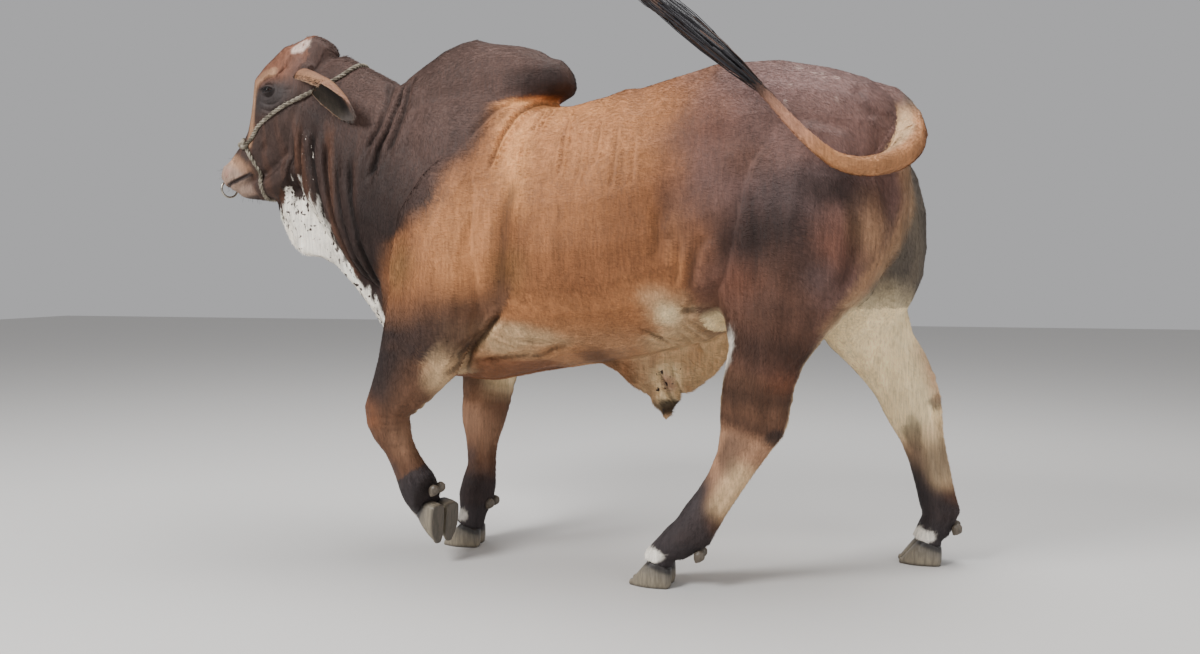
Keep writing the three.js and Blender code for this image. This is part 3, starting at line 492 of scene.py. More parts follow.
def write_points(mesh, points):
    mesh.vertices.foreach_set("co", np.asarray(points, np.float32).ravel())
    mesh.update()


def side_view(p):
    return p[:, [0, 2]]


def folds(p, n):
    """How far the skin stands out for its folds and creases, in millimetres."""
    rise = np.zeros(len(p))
    view = side_view(p)
    facing = ease(0.1, 0.5, np.abs(n[:, 1]))
    sway = np.column_stack([grain(p, 70, 3) * 5, grain(p, 70, 4) * 5])
    for lines, sign in ((CREASES, -1), (RIDGES, 1)):
        for line, wide, deep in lines:
            x, z = np.transpose(line)
            box = (view[:, 0] > x.min() - 60) & (view[:, 0] < x.max() + 60)
            box &= (view[:, 1] > z.min() - 60) & (view[:, 1] < z.max() + 60) & (p[:, 2] > 455)
            if not box.any():
                continue
            d, share = line_distance(view[box] + sway[box], smooth_line(line, 24))
            ends = ease(0, 0.18, share) * ease(1, 0.8, share)
            shape = hill(d, 0, wide)
            if sign < 0:
                shape = shape - 0.35 * hill(d, 2.1 * wide, wide)
            rise[box] += sign * deep * shape * ends * facing[box]
    return rise


def oval(p, x, z, rx, rz, turn):
    """Where points lie in an oval of the side view, along its two axes, as shares of its radii."""
    a = math.radians(turn)
    dx, dz = p[:, 0] - x, p[:, 2] - z
    return (dx * math.cos(a) + dz * math.sin(a)) / rx, (dz * math.cos(a) - dx * math.sin(a)) / rz


def swells(p, n):
    """How far the skin stands out for muscle and bone, in millimetres."""
    rise = np.zeros(len(p))
    facing = ease(0.2, 0.7, np.abs(n[:, 1]))
    for x, z, rx, rz, turn, height in SWELLS:
        u, v = oval(p, x, z, rx, rz, turn)
        rise += height * np.exp(-(u ** 2 + v ** 2)) * facing
    return rise


def leg_relief(p, n):
    """Tendons, joints and the wrinkles behind the knees."""
    rise = np.zeros(len(p))
    for name in LEGS:
        share, fore, out, on = leg_space(p, name)
        fore_leg = name.startswith("fore")
        knee = 2.4 if fore_leg else 3.4
        wrinkled = hill(share - knee, -0.7, 0.9) * ease(0.35, -0.5, fore) * on
        bands = np.sin(share * (17 if fore_leg else 12) + 2.2 * fore + 1.5 * grain(p, 60, 8))
        bent = 1.0 if name == "fore_left" else 0.35
        rise += 3.4 * bent * wrinkled * bands
        top, foot = ((3.4, 4.2), (6.3, 5.4)) if fore_leg else ((4.8, 5.4), (7.6, 6.8))
        cannon = ease(*top, share) * ease(*foot, share)
        groove = hill(fore, -0.35, 0.16) * ease(0.25, 0.8, np.abs(out))
        rise -= 4.5 * cannon * groove * on
        if fore_leg:
            rise += 4 * hill(share, 2.3, 0.45) * ease(0.1, 0.8, fore) * on
        else:
            rise -= 7 * hill(share, 2.6, 0.9) * hill(fore, -0.45, 0.22) * ease(0.2, 0.7, np.abs(out)) * on
            rise += 4 * hill(share, 3.9, 0.5) * ease(0.0, 0.8, np.abs(fore)) * on
    return rise


# Ridges and furrows of the face in the side view, each with its half width and height, and nicks above the eye.
FACE_MARKS = [
    ([(-990, 1248), (-950, 1300), (-925, 1360)], 13, 6), ([(-1040, 1262), (-985, 1318), (-960, 1372)], 16, -6),
    ([(-905, 1236), (-880, 1300), (-868, 1370)], 24, 6), ([(-958, 1240), (-930, 1285)], 22, -5),
    ([(-1020, 1150), (-960, 1150), (-905, 1172)], 11, 4), ([(-1000, 1180), (-940, 1192), (-890, 1225)], 12, -5),
    ([(-874, 1500), (-850, 1520), (-838, 1545)], 14, -5), ([(-1008, 1200), (-1000, 1180), (-1004, 1150)], 9, -4),
    ([(-990, 1390), (-980, 1452), (-948, 1487), (-905, 1498), (-868, 1480)], 10, 8),
    ([(-966, 1400), (-958, 1446), (-932, 1473), (-900, 1480), (-876, 1464)], 7, -7),
    ([(-956, 1408), (-930, 1396), (-898, 1394), (-872, 1408)], 5, -4),
    ([(-960, 1390), (-932, 1376), (-900, 1374), (-870, 1392)], 5, -4),
    ([(-952, 1370), (-925, 1358), (-900, 1358)], 5, -3), ([(-870, 1440), (-852, 1436), (-836, 1440)], 5, -3),
]
NICKS = ((-868, 1505), (-878, 1492), (-858, 1518))
# The left nostril: its middle, its turns and its radii.
NOSTRIL_AT, NOSTRIL_TURN, NOSTRIL_RADII = (-1130, 40, 1191), (0.5, -0.6), (21, 15, 11)
MOUTH_LINE = [(-1012, 1184), (-1052, 1168), (-1092, 1152), (-1120, 1143), (-1142, 1138)]


def nostril_distance(p):
    """How far points lie from the middle of the nearest nostril, where 1 is its rim."""
    return np.linalg.norm((mirrored(p) - NOSTRIL_AT) @ turned(*NOSTRIL_TURN) / NOSTRIL_RADII, axis=1)


def face_relief(p, n):
    """Bone, wrinkles, nostrils and the line of the mouth."""
    view = side_view(p)
    flank = ease(0.15, 0.6, np.abs(n[:, 1]))
    rise = np.zeros(len(p))
    for line, wide, high in FACE_MARKS:
        d, share = line_distance(view, smooth_line(line, 16))
        rise += high * hill(d, 0, wide) * np.sin(np.pi * np.clip(share, 0.08, 0.92)) * flank
    for x, z in NICKS:
        d, share = line_distance(view, smooth_line([(x - 16, z - 12), (x, z + 6), (x + 4, z + 26)], 10))
        rise -= 3.2 * hill(d, 0, 3.6) * ease(0.05, 0.4, np.abs(n[:, 1]))
    d, share = line_distance(view, smooth_line(MOUTH_LINE, 24))
    lips = p[:, 0] < -1004
    rise -= 4.2 * hill(d, 0, 3.4) * ease(0, 0.12, share) * lips
    rise += 2.2 * hill(d, 9, 6) * ease(0, 0.2, share) * lips
    depth = nostril_distance(p)
    rise -= 13 * ease(1.0, 0.55, depth)
    rise += 3 * hill(depth, 1.35, 0.3)
    rise -= 3 * hill(p[:, 1], 0, 5) * ease(-1110, -1136, p[:, 0]) * ease(1205, 1190, p[:, 2])
    return rise * (p[:, 0] < -780)


def turned(about_z, about_y):
    a, b = about_z, about_y
    first = np.array([[math.cos(a), -math.sin(a), 0], [math.sin(a), math.cos(a), 0], [0, 0, 1]])
    second = np.array([[math.cos(b), 0, math.sin(b)], [0, 1, 0], [-math.sin(b), 0, math.cos(b)]])
    return first @ second


def eye_directions(side):
    """Outward, to the front and upward at one eye, square to each other."""
    outward = unit(np.array([EYE_LEAN[0], side, EYE_LEAN[1]]))
    front = np.array([-1.0, 0, 0])
    front = unit(front - outward * (front @ outward))
    upward = np.cross(front, outward) * -side
    if upward[2] < 0:
        upward = -upward
    return outward, front, upward


def eye_hollow(p):
    """Presses the skin in behind each eyeball, where the lids cover it."""
    p = p.copy()
    for side in (-1, 1):
        outward, front, upward = eye_directions(side)
        off = p - eye_centre(side)
        a, b, h = off @ front, off @ upward, off @ outward
        inside = np.hypot(a / 36, b / 30)
        near_eye = (inside < 1.0) & (h > -40) & (h < 60)
        drop = np.minimum(h, 2 + 8 * inside ** 2) - h
        p[near_eye] += (drop * ease(1.0, 0.75, inside))[near_eye, None] * outward
    return p


def round_tail(p):
    """Lays the skin of the tail on a round dock."""
    share, offset, distance, reach = tail_space(p)
    radial = offset / np.maximum(distance, 1e-6)[:, None]
    on = (distance < reach + 16) * ease(22, 34, share) * ease(90, 86, share)
    return p + radial * ((reach - 1.0 - distance) * on)[:, None]


def blob(p, x, z, rx, rz, turn=0, soft=0.5, rough=0.25, seed=1):
    """A soft patch in the side view, from 0 to 1, with an uneven edge."""
    d = np.hypot(*oval(p, x, z, rx, rz, turn))
    d = d + rough * grain(p, (0.8 * min(rx, rz), 90, 1.2 * min(rx, rz)), seed)
    return ease(1 + soft, 1 - soft, d)


def edge_of(p, line, soft, rough=0, seed=2):
    """0 in front of a line in the side view and 1 behind it."""
    z, x = np.transpose(sorted((z, x) for x, z in line))
    d = p[:, 0] - np.interp(p[:, 2], z, x) + rough * grain(p, (60, 120, 90), seed)
    return ease(-soft, soft, d)


# Where the dark of the neck and shoulder gives way to the tan of the side, and the tan to the rump.
DARK_EDGE = [(70, 1560), (58, 1398), (-60, 1388), (-150, 1364), (-186, 1268), (-250, 1185), (-276, 1081),
             (-363, 1009), (-470, 962), (-520, 880), (-530, 800), (-520, 500)]
RUMP_EDGE = [(450, 1560), (446, 1350), (414, 1230), (398, 1120), (462, 1010), (486, 900), (476, 830), (516, 740),
             (530, 500)]
THIGH_EDGE = [(984, 1300), (984, 1153), (997, 1059), (956, 940), (880, 840), (828, 770), (784, 715), (700, 500)]

PAINT = {
    "tan": (143, 94, 60), "light_tan": (182, 125, 82), "bright": (216, 152, 98), "deep_tan": (116, 73, 46),
    "streak": (92, 60, 42), "olive": (116, 88, 54), "neck": (48, 37, 34), "hump": (90, 69, 62),
    "hump_dark": (34, 28, 28), "rump": (104, 78, 72), "rump_top": (124, 95, 90), "rump_dark": (40, 28, 24),
    "rump_blue": (70, 58, 57), "thigh": (92, 63, 50), "thigh_red": (112, 68, 48), "cream": (208, 176, 136),
    "belly": (186, 142, 104), "white": (250, 243, 230), "gold": (174, 134, 98), "leg_dark": (46, 38, 37),
    "leg_brown": (98, 69, 52), "leg_red": (132, 86, 60), "leg_pink": (178, 136, 106), "fetlock": (58, 52, 53),
    "face": (74, 58, 52), "face_red": (134, 90, 70), "face_tan": (176, 136, 106), "muzzle": (162, 136, 120),
    "black": (20, 17, 17), "lid": (62, 56, 55), "mouth": (52, 42, 40), "buttock": (104, 95, 82), "tail": (184, 131, 90),
    "pink": (176, 130, 114), "switch": (34, 31, 34), "inner": (253, 230, 184), "scar": (226, 202, 188),
    "rope": (168, 158, 142), "rope_worn": (112, 104, 92), "horn": (112, 105, 94),
    "iris": (46, 28, 20), "hair": (34, 32, 36), "floor": (206, 204, 201), "dark_fleck": (58, 46, 44),
    "white_fleck": (222, 212, 200), "ear": (132, 92, 66), "ear_mottle": (104, 78, 64), "ear_root": (84, 68, 60),
    "ear_front": (160, 122, 92), "ear_inside": (40, 34, 31), "ear_hair": (70, 63, 55), "ear_pink": (186, 138, 118),
    "ear_tip": (88, 80, 76), "ear_rim": (186, 156, 130), "eye_rim": (70, 54, 50), "pupil": (8, 8, 14),
    "horn_pale": (150, 138, 116), "horn_crown": (46, 42, 40), "horn_sole": (66, 60, 54), "dewclaw": (96, 86, 74),
    "rope_fibre": (70, 68, 56), "ring": (150, 146, 138), "ring_worn": (196, 190, 178), "hair_warm": (84, 64, 54),
    "sheath_hair": (44, 36, 34), "lash": (30, 26, 25),
}

# Soft patches on both sides, laid in order: colour, middle x and z, radii, turn, softness and strength.
SIDE_PATCHES = [
    ("light_tan", 120, 1250, 230, 110, 0, 0.9, 0.75), ("light_tan", -215, 960, 110, 160, -10, 0.8, 0.9),
    ("light_tan", 60, 1090, 120, 170, 0, 0.9, 0.35), ("bright", -72, 1210, 46, 130, 8, 0.9, 0.85),
    # The deep_tan patch at x -80 and the olive one at x -68 are painted shade in the groove behind the shoulder blade;
    # the olive one at x -395 is painted shade in the hollow in front of the shoulder.
    ("bright", 40, 1330, 130, 36, 6, 0.9, 0.5), ("deep_tan", -80, 900, 40, 100, -6, 0.9, 0.55),
    ("olive", -395, 890, 46, 60, 0, 0.9, 0.6), ("olive", -68, 880, 46, 60, 0, 0.9, 0.45),
    ("deep_tan", 190, 880, 130, 90, 0, 0.9, 0.35), ("streak", 376, 1000, 26, 110, 4, 0.9, 0.6),
    ("light_tan", 404, 930, 22, 110, 4, 0.9, 0.4), ("deep_tan", 300, 990, 60, 150, 0, 0.9, 0.35),
    ("light_tan", 300, 790, 90, 60, 0, 0.9, 0.5),
]
RUMP_PATCHES = [
    ("rump_top", 700, 1390, 220, 60, 0, 0.8, 0.8), ("thigh_red", 480, 1300, 70, 110, 0, 0.9, 0.35),
    ("rump_blue", 672, 1050, 100, 80, -20, 0.8, 0.8), ("rump_blue", 780, 1110, 90, 50, 0, 0.8, 0.75),
    ("rump_dark", 780, 1075, 50, 34, -10, 0.8, 0.5), ("rump_dark", 590, 955, 118, 74, -8, 0.9, 0.85),
    ("rump_dark", 690, 985, 70, 46, -20, 0.8, 0.5), ("thigh_red", 806, 945, 56, 76, 0, 0.8, 0.5),
    ("thigh", 640, 800, 150, 110, 0, 0.6, 0.85), ("thigh_red", 560, 850, 60, 50, 0, 0.8, 0.5),
    ("rump_blue", 770, 862, 50, 40, 0, 0.8, 0.6), ("rump_dark", 730, 900, 60, 34, 30, 0.8, 0.5),
    ("rump_dark", 690, 730, 70, 60, 0, 0.8, 0.6), ("gold", 905, 970, 44, 80, 10, 0.9, 0.55),
    ("rump_dark", 850, 1080, 70, 40, 0, 0.9, 0.4),
]
SKULL_PATCHES = [
    ("face_red", -860, 1545, 130, 66, 32, 0.4, 0.9), ("face_red", -940, 1490, 60, 60, 0, 0.5, 0.9),
    ("hump", -820, 1500, 36, 60, 0, 0.7, 0.8), ("neck", -880, 1300, 60, 70, 0, 0.8, 0.4),
    ("neck", -940, 1230, 60, 50, 0, 0.8, 0.4), ("lid", -912, 1424, 66, 62, 0, 0.5, 0.92),
    ("leg_dark", -925, 1436, 34, 22, 0, 0.6, 0.7),
]


def painted(p, n):
    """The markings of the bull, with painted shade in its creases, hollows and openings and painted highlight on its
    ridges: a colour at each point, and how flecked the coat is there.
    """
    colour = np.tile(shade("tan"), (len(p), 1))
    fleck = np.zeros((len(p), 4))
    view = side_view(p)
    x, y, z = p.T

    def lay(mask, name, much=1.0):
        nonlocal colour
        colour = over(colour, name, np.clip(mask, 0, 1)[:, None] * much)

    def lay_patches(patches, where=1.0):
        for name, at_x, at_z, rx, rz, turn, soft, much in patches:
            lay(blob(p, at_x, at_z, rx, rz, turn, soft) * where, name, much)

    def along_line(line, inner, outer, rough=0, count=30):
        d, share = line_distance(view, smooth_line(line, count))
        return ease(outer, inner, d + (rough * grain(p, (14, 30, 36), 16) if rough else 0)), share

    wide = grain(p, 160, 11)
    fine = grain(p, (30, 60, 90), 12)
    lay(ease(-0.6, 0.8, wide), "deep_tan", 0.3)
    lay_patches(SIDE_PATCHES)
    # The belly: a cream lens behind the arm, an orange fold, and the pale web in front of the thigh.
    lay(blob(p, 20, 745, 200, 60, -4, 0.8), "light_tan", 0.5)
    lay(ease(0.1, -0.7, n[:, 2]) * ease(760, 650, z) * (x > -360) * (x < 600), "belly", 0.8)
    lay(blob(p, -90, 684, 170, 50, -8, 0.45, 0.15), "cream", 0.85)
    lay(ease(634, 612, z) * (x > -420) * ease(60, -10, x) * (np.abs(y) < 190), "leg_red", 0.85)
    lay(blob(p, 60, 645, 110, 26, 0, 0.6), "light_tan", 0.7)
    lay(blob(p, 140, 630, 50, 34, 0, 0.7), "leg_brown", 0.7)
    thigh_front, _ = along_line([(436, 778), (480, 752), (519, 730)], 4, 14)
    lay(thigh_front * (y < 0), "cream", 0.8)
    web = ease(250, 330, x) * ease(540, 500, x) * ease(765, 700, z - 0.25 * (x - 370)) * ease(240, 200, np.abs(y))
    lay(web, "cream", 0.85)
    lay(web * ease(-0.1, 0.5, grain(p, (24, 60, 80), 23)), "olive", 0.25)
    lay(blob(p, 372, 768, 60, 50, -30, 0.8), "cream", 0.8)
    lay(blob(p, 372, 757, 26, 26, 0, 0.9, 0.15), "inner", 0.9)
    lay(blob(p, 432, 748, 60, 26, 25, 0.9, 0.2), "cream", 0.6)
    # The rump, from the tan side backward.
    rear = edge_of(p, RUMP_EDGE, 110, 50, 5)
    lay(edge_of(p, RUMP_EDGE, 190, 60, 37) * (z > 700), "thigh_red", 0.4)
    lay(rear * (z > 560), "rump", 0.95)
    lay(rear * ease(0.0, 0.9, grain(p, 120, 21)), "thigh", 0.5)
    lay_patches(RUMP_PATCHES, rear)
    scratches = ease(0.55, 0.75, grain(p, (9, 30, 60), 25)) * (blob(p, 720, 1375, 60, 60, 0, 0.8)
                                                          + blob(p, 800, 1380, 50, 40, 0, 0.8))
    lay(scratches, "scar", 0.5)
    # The golden rear edge of each thigh, and the grey between them.
    behind = edge_of(p, THIGH_EDGE, 18, 8, 6) * ease(700, 740, x) * ease(630, 700, z)
    lay(behind * ease(235, 200, np.abs(y)), "buttock", 0.92)
    lay(behind * ease(-0.1, 0.7, grain(p, (40, 60, 120), 26)), "fetlock", 0.5)
    lay(behind * ease(860, 700, z + 30 * grain(p, 90, 38)), "inner", 0.85)
    edge, _ = along_line(THIGH_EDGE[1:7], 5, 34)
    lay(edge * ease(690, 730, z) * (x > 700), "gold", 0.6)
    # The neck, shoulder and hump.
    front = (1 - edge_of(p, DARK_EDGE, 52, 30, 7)) * ease(690, 760, z)
    lay((1 - edge_of(p, DARK_EDGE, 110, 40, 39)) * ease(690, 760, z) * (z < 1340), "face", 0.35)
    lay(front, "neck", 0.97)
    lay(front * ease(-0.1, 0.8, grain(p, (60, 150, 190), 22)), "face", 0.5)
    lay(front * ease(1150, 1360, z + 0.25 * (x + 500)), "hump", 0.62)
    lay(front * ease(-330, -200, x) * ease(1300, 1400, z), "hump", 0.7)
    lay(blob(p, -330, 1230, 90, 150, 10, 0.9) * front, "hump", 0.5)
    lay(blob(p, -740, 1330, 60, 110, 10, 0.8) * front, "neck", 0.75)
    lay(blob(p, -20, 1425, 90, 50, 0, 0.7) * ease(1384, 1392, z), "hump_dark", 0.7)
    rim, share = along_line([(-200, 1335), (-150, 1352), (-90, 1366), (0, 1378)], 2, 22)
    lay(rim * ease(1388, 1376, z) * ease(0.1, 0.5, share), "bright", 0.85)
    skull = (x < -800) & on_head(p)
    stripes = ~skull * ease(0.1, 0.9, np.sin(x / 19 + 1.6 * grain(p, 120, 14) + 0.004 * (z - 1100)))
    lay(stripes * ease(-560, -640, x) * (x > -950) * ease(1380, 1250, z) * front, "leg_red", 0.22)
    lay(blob(p, -560, 1000, 90, 160, 15, 0.8) * front, "hump_dark", 0.4)
    # The head.
    lay(skull.astype(float), "face", 0.85)
    lay_patches(SKULL_PATCHES, skull)
    lay(skull * ease(0.3, 0.9, np.sin(x / 9 + 2 * grain(p, (60, 60, 90), 27))) * ease(1400, 1300, z), "face_red", 0.14)
    lay(skull * blob(p, -880, 1240, 70, 90, 0, 0.9), "face", 0.35)
    # The pale tan line of the brow is partly its own colour, down the front of the brow, and partly painted highlight,
    # on the ridge over the eye.
    brow, _ = along_line([(-1012, 1280), (-1000, 1340), (-990, 1400), (-980, 1452), (-948, 1487), (-905, 1498)], 6, 20)
    lay(brow * skull, "face_tan", 0.8)
    scar = blob(p, -826, 1576, 32, 17, 25, 0.35, 0.5) * ease(-8, -24, y) * ease(-0.7, 0.1, grain(p, 12, 34))
    lay(scar, "scar", 0.8)
    pad = blob(p, -1100, 1185, 78, 52, -25, 0.3, 0.15)
    lay(pad, "muzzle", 0.95)
    lay(blob(p, -1064, 1130, 62, 30, -8, 0.3, 0.12), "muzzle", 0.8)
    lay(blob(p, -1060, 1222, 60, 20, -30, 0.6), "face_tan", 0.7)
    lay(pad * ease(0.2, 0.8, grain(p, 16, 15)), "pink", 0.4)
    # Painted shade: the dark line of the mouth in the slit between the lips, the black of the nostrils in their
    # openings, and the dark band under the lower lip.
    mouth, _ = along_line(MOUTH_LINE, 3.5, 10)
    lay(mouth * (x < -1000), "mouth", 0.95)
    lay(ease(1.15, 0.8, nostril_distance(p)), "black", 0.95)
    lay(ease(14, 4, np.abs(z - 1105 - 0.12 * (x + 1060))) * (x < -1000), "mouth", 0.8)
    # The white of the throat and the dewlap, with a ragged upper edge.
    mid = ease(190, 60, np.abs(y))
    upper = ease(980, 1060, z)
    ragged = (24 + 34 * upper) * grain(p, (9, 30, 60), 32) + 10 * grain(p, (5, 20, 14), 33) - 14 * upper
    patch = ease(7, -7, 95 * (np.hypot(*oval(p, -835, 1008, 105, 100, -35)) - 1) + ragged) * (x < -650)
    line = [(-785, 1215), (-800, 1120), (-760, 960), (-700, 860), (-625, 760), (-560, 700)]
    d, share = line_distance(view, smooth_line(line, 30))
    band = ease(5, -5, d - 34 * ease(0.1, 0.45, share) + 22 * grain(p, (10, 30, 40), 35)) * (z < 1150)
    white = np.maximum(patch, band) * mid
    lay(white, "white", 0.97)
    fleck[:, 0] = np.clip(white, 0, 1) * (0.6 * band * (1 - patch) + 0.5 * upper + 0.42)
    flakes, _ = along_line([(-787, 1320), (-770, 1220), (-764, 1130)], 8, 26)
    fleck[:, 1] = np.maximum(ease(80, 20, d) * 0.7, flakes) * (1 - white) * mid * (z < 1340)
    # The sheath.
    pouch = (np.abs(y) < 80) * ease(200, 260, x) * ease(720, 690, z) * (x < 560)
    lay(pouch, "cream", 0.85)
    lay(pouch * ease(0.2, -0.6, grain(p, (30, 40, 60), 36)), "belly", 0.5)
    lay(blob(p, 326, 540, 46, 60, 0, 0.5) * pouch, "inner", 0.5)
    fleck[:, 0] += 0.8 * blob(p, 330, 560, 40, 40, 0, 0.5) * pouch
    lay(blob(p, 330, 552, 16, 26, 10, 0.6, 0.4) * pouch, "pink", 0.6)
    # The black at the tip of the sheath is painted shade in its opening.
    lay(blob(p, 326, 478, 40, 24, 0, 0.4) * pouch, "black", 0.85)
    paint_legs(p, n, lay)
    # The tail.
    share, offset, distance, reach = tail_space(p)
    on_tail = (distance < reach + 7) * ease(12, 22, share) * ((y < -60) | (x > 960))
    lay(on_tail, "tail", 0.97)
    under = offset[:, 2] * 0.5 - offset[:, 0] * 0.8
    lay(on_tail * ease(2, 22, under) * ease(46, 30, share), "cream", 0.8)
    lay(on_tail * ease(-4, -22, under) * ease(36, 14, share), "leg_red", 0.45)
    lay(on_tail * ease(50, 60, share), "pink", 0.6)
    lay(on_tail * ease(60, 68, share), "switch", 0.9)
    # Streaks of tone along the lie of the coat, then painted shade in the creases of the folds and painted highlight on
    # their ridges.
    colour *= (1 + 0.12 * fine + 0.07 * grain(p, (14, 40, 110), 19) + 0.06 * wide)[:, None]
    fold = folds(p, n)
    colour *= (1 - 0.55 * ease(-1, -11, fold) + 0.18 * ease(1.5, 6, fold))[:, None]
    fleck[:, 2] = 1
    return np.clip(colour, 0, 1), np.clip(fleck, 0, 1)


def paint_legs(p, n, lay):
    x, y, z = p.T
    for name in LEGS:
        share, fore, out, on = leg_space(p, name)
        inward = ease(0.25, -0.25, out) * on
        side = -1 if name.endswith("left") else 1
        if name.startswith("fore"):
            # The dark of the upper arm fades upward, and ends behind at the fold of the armpit.
            ahead = x - (70 if side > 0 else 0)
            edge = np.interp(z, (600, 643, 686, 754, 830), (-240, -223, -175, -106, -60))
            arm = ease(14, -10, ahead - edge + 6 * grain(p, 40, 28)) * (side * y > 50) * (ahead > -600)
            arm = arm * ease(600, 640, z)
            level = z - 0.14 * (ahead + 342) + 16 * grain(p, 70, 29)
            lay(arm * ease(850, 745, level), "leg_brown", 0.9)
            lay(arm * ease(775, 700, level) * ease(-150, -330, ahead), "leg_dark", 0.8)
            lay(ease(0.0, 0.4, share) * ease(705, 650, z) * on, "leg_brown", 0.95)
            lay(ease(-0.5, 0.4, fore) * ease(2.2, 1.5, share) * ease(690, 640, z) * on, "leg_dark", 0.85)
            lay(ease(0.1, 0.8, fore) * ease(2.7, 1.9, share) * on, "leg_dark", 0.8)
            if side < 0:
                lay(blob(p, -280, 590, 34, 60, -22, 0.9, 0.2) * on, "cream", 0.8)
            lay(hill(share, 2.3, 0.5) * ease(-0.2, 0.5, fore) * on, "leg_red", 0.75)
            if side > 0:
                lay(hill(share, 2.4, 1.3) * ease(-0.9, 0.3, fore) * on, "leg_pink", 0.6)
            lay(hill(share, 1.3, 0.5) * inward * ease(0.3, -0.5, fore), "inner", 0.7)
            lay(hill(share, 3.6, 0.8) * ease(0.5, -0.6, fore) * on, "leg_pink", 0.35)
            # A blue-grey painted highlight on the front of the lower cannon, at the top of the dark of the fetlock.
            lay(hill(share, 4.6, 0.5) * ease(-0.1, 0.5, fore) * on, "rump_blue", 0.6)
            lay(ease(4.7, 5.7, share) * on, "fetlock", 0.9)
        else:
            lay(ease(-0.4, 0.3, share) * on, "thigh", 0.8)
            lay(ease(0.9, 0.0, np.abs(share - 0.9)) * ease(-0.3, 0.3, out) * on, "rump_dark", 0.6)
            lay(ease(1.3, 2.0, share) * on, "leg_brown", 0.85)
            lay(hill(share, 1.7, 0.5) * ease(0.2, -0.7, fore) * on, "thigh_red", 0.6)
            band = hill(share, 2.3, 0.4) + 0.7 * hill(share, 3.3, 0.25)
            lay(band * ease(-0.8, 0.2, out) * on, "rump_dark", 0.55)
            lay(ease(3.4, 4.1, share) * ease(6.6, 5.6, share) * on, "leg_pink", 0.85)
            lay(ease(0.55, -0.2, fore) * ease(4.3, 5.0, share) * ease(6.9, 6.0, share) * on, "cream", 0.9)
            lay(blob(p, 530 if side < 0 else 850, 664, 15, 56, -12, 0.5) * ease(0.2, 0.7, fore) * on, "white", 0.85)
            lay(inward * ease(5.4, 3.9, share), "inner", 0.92)
            lay(inward * ease(4.6, 5.4, share) * ease(6.8, 5.8, share), "buttock", 0.6)
            knob = np.hypot((share - 4.5) / 0.75, (fore - 0.3) / 0.5) + 0.35 * grain(p, 24, 17)
            lay(ease(1.2, 0.4, knob) * on, "leg_dark", 0.6)
            point = np.hypot((share - 3.5) / 0.35, (fore + 0.8) / 0.35) + 0.3 * grain(p, 24, 17)
            lay(ease(1.2, 0.5, point) * on, "leg_dark", 0.7)
            lay(ease(-0.4, -0.9, fore) * ease(4.4, 2.6, share) * ease(1.0, 1.8, share) * inward, "leg_pink", 0.8)
            lay(ease(0.1, 0.7, fore) * ease(5.0, 6.0, share) * on, "fetlock", 0.8)
            lay(ease(5.8, 7.0, share + 0.8 * fore) * on, "fetlock", 0.92)
        foot = FEET[name]
        local = (p - np.array(foot["at"])) @ foot_frame(foot)
        at_foot = near(p, foot["at"], 190) & (on | (local[:, 2] < 130))
        lay(at_foot * ease(150, 120, local[:, 2]), "fetlock", 0.9)
        wide, high, at_x, at_z = (36, 20, 2, 90) if name.startswith("hind") else (24, 18, -6, 100)
        mark = np.hypot((local[:, 0] - at_x) / wide, (local[:, 2] - at_z) / high) + 0.25 * grain(p, 20, 18)
        lay(at_foot * ease(1.2, 0.8, mark), "white", 0.9 if name.startswith("hind") else 0.5)
        lay(at_foot * ease(70, 58, local[:, 2] + 0.25 * local[:, 0]), "leg_dark", 0.9)


def foot_frame(foot):
    """The turning of a foot: its columns are the foot's own axes in the drawing."""
    a, b = math.radians(foot["yaw"]), math.radians(foot["pitch"])
    return turned(a, b)


def set_colour(mesh, name, values):
    attribute = mesh.color_attributes.new(name, "FLOAT_COLOR", "POINT")
    full = np.ones((len(mesh.vertices), 4), np.float32)
    full[:, :values.shape[1]] = values
    attribute.data.foreach_set("color", full.ravel())


def smoothed(bm):
    for f in bm.faces:
        f.smooth = True


def mesh_object(bm, name, slot, *finishes):
    """Puts a bmesh in drawing millimetres into the scene as a finished piece."""
    points = boxed(placed([v.co for v in bm.verts]))
    for v, p in zip(bm.verts, points):
        v.co = p
    smoothed(bm)
    return mesh_piece(as_mesh(bm, name), name, slot, *finishes)


def mesh_piece(mesh, name, slot, *finishes):
    obj = bpy.data.objects.new(name, mesh)
    bpy.context.scene.collection.objects.link(obj)
    for finish in finishes:
        mesh.materials.append(finish)
    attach(obj, "root")
    return obj


def swept(bm, across, along, place, closed=True):
    """A grid bent by place(u, v), both from 0 to 1, and closed round u. Its ends may be capped."""
    layers = bm.verts.layers.float
    for name in ("across", "along"):
        if name not in layers:
            layers.new(name)
    u, v = layers["across"], layers["along"]
    made = bmesh.ops.create_grid(bm, x_segments=across, y_segments=along, size=0.5)["verts"]
    for w in made:
        w[u], w[v] = w.co.x + 0.5, w.co.y + 0.5
        w.co = place(w[u], w[v])
    if closed:
        bmesh.ops.remove_doubles(bm, verts=made, dist=1e-3)
    return [v for v in made if v.is_valid]


def cap_ends(bm):
    rims = [e for e in bm.edges if e.is_boundary]
    bmesh.ops.holes_fill(bm, edges=rims)
    bmesh.ops.recalc_face_normals(bm, faces=bm.faces)


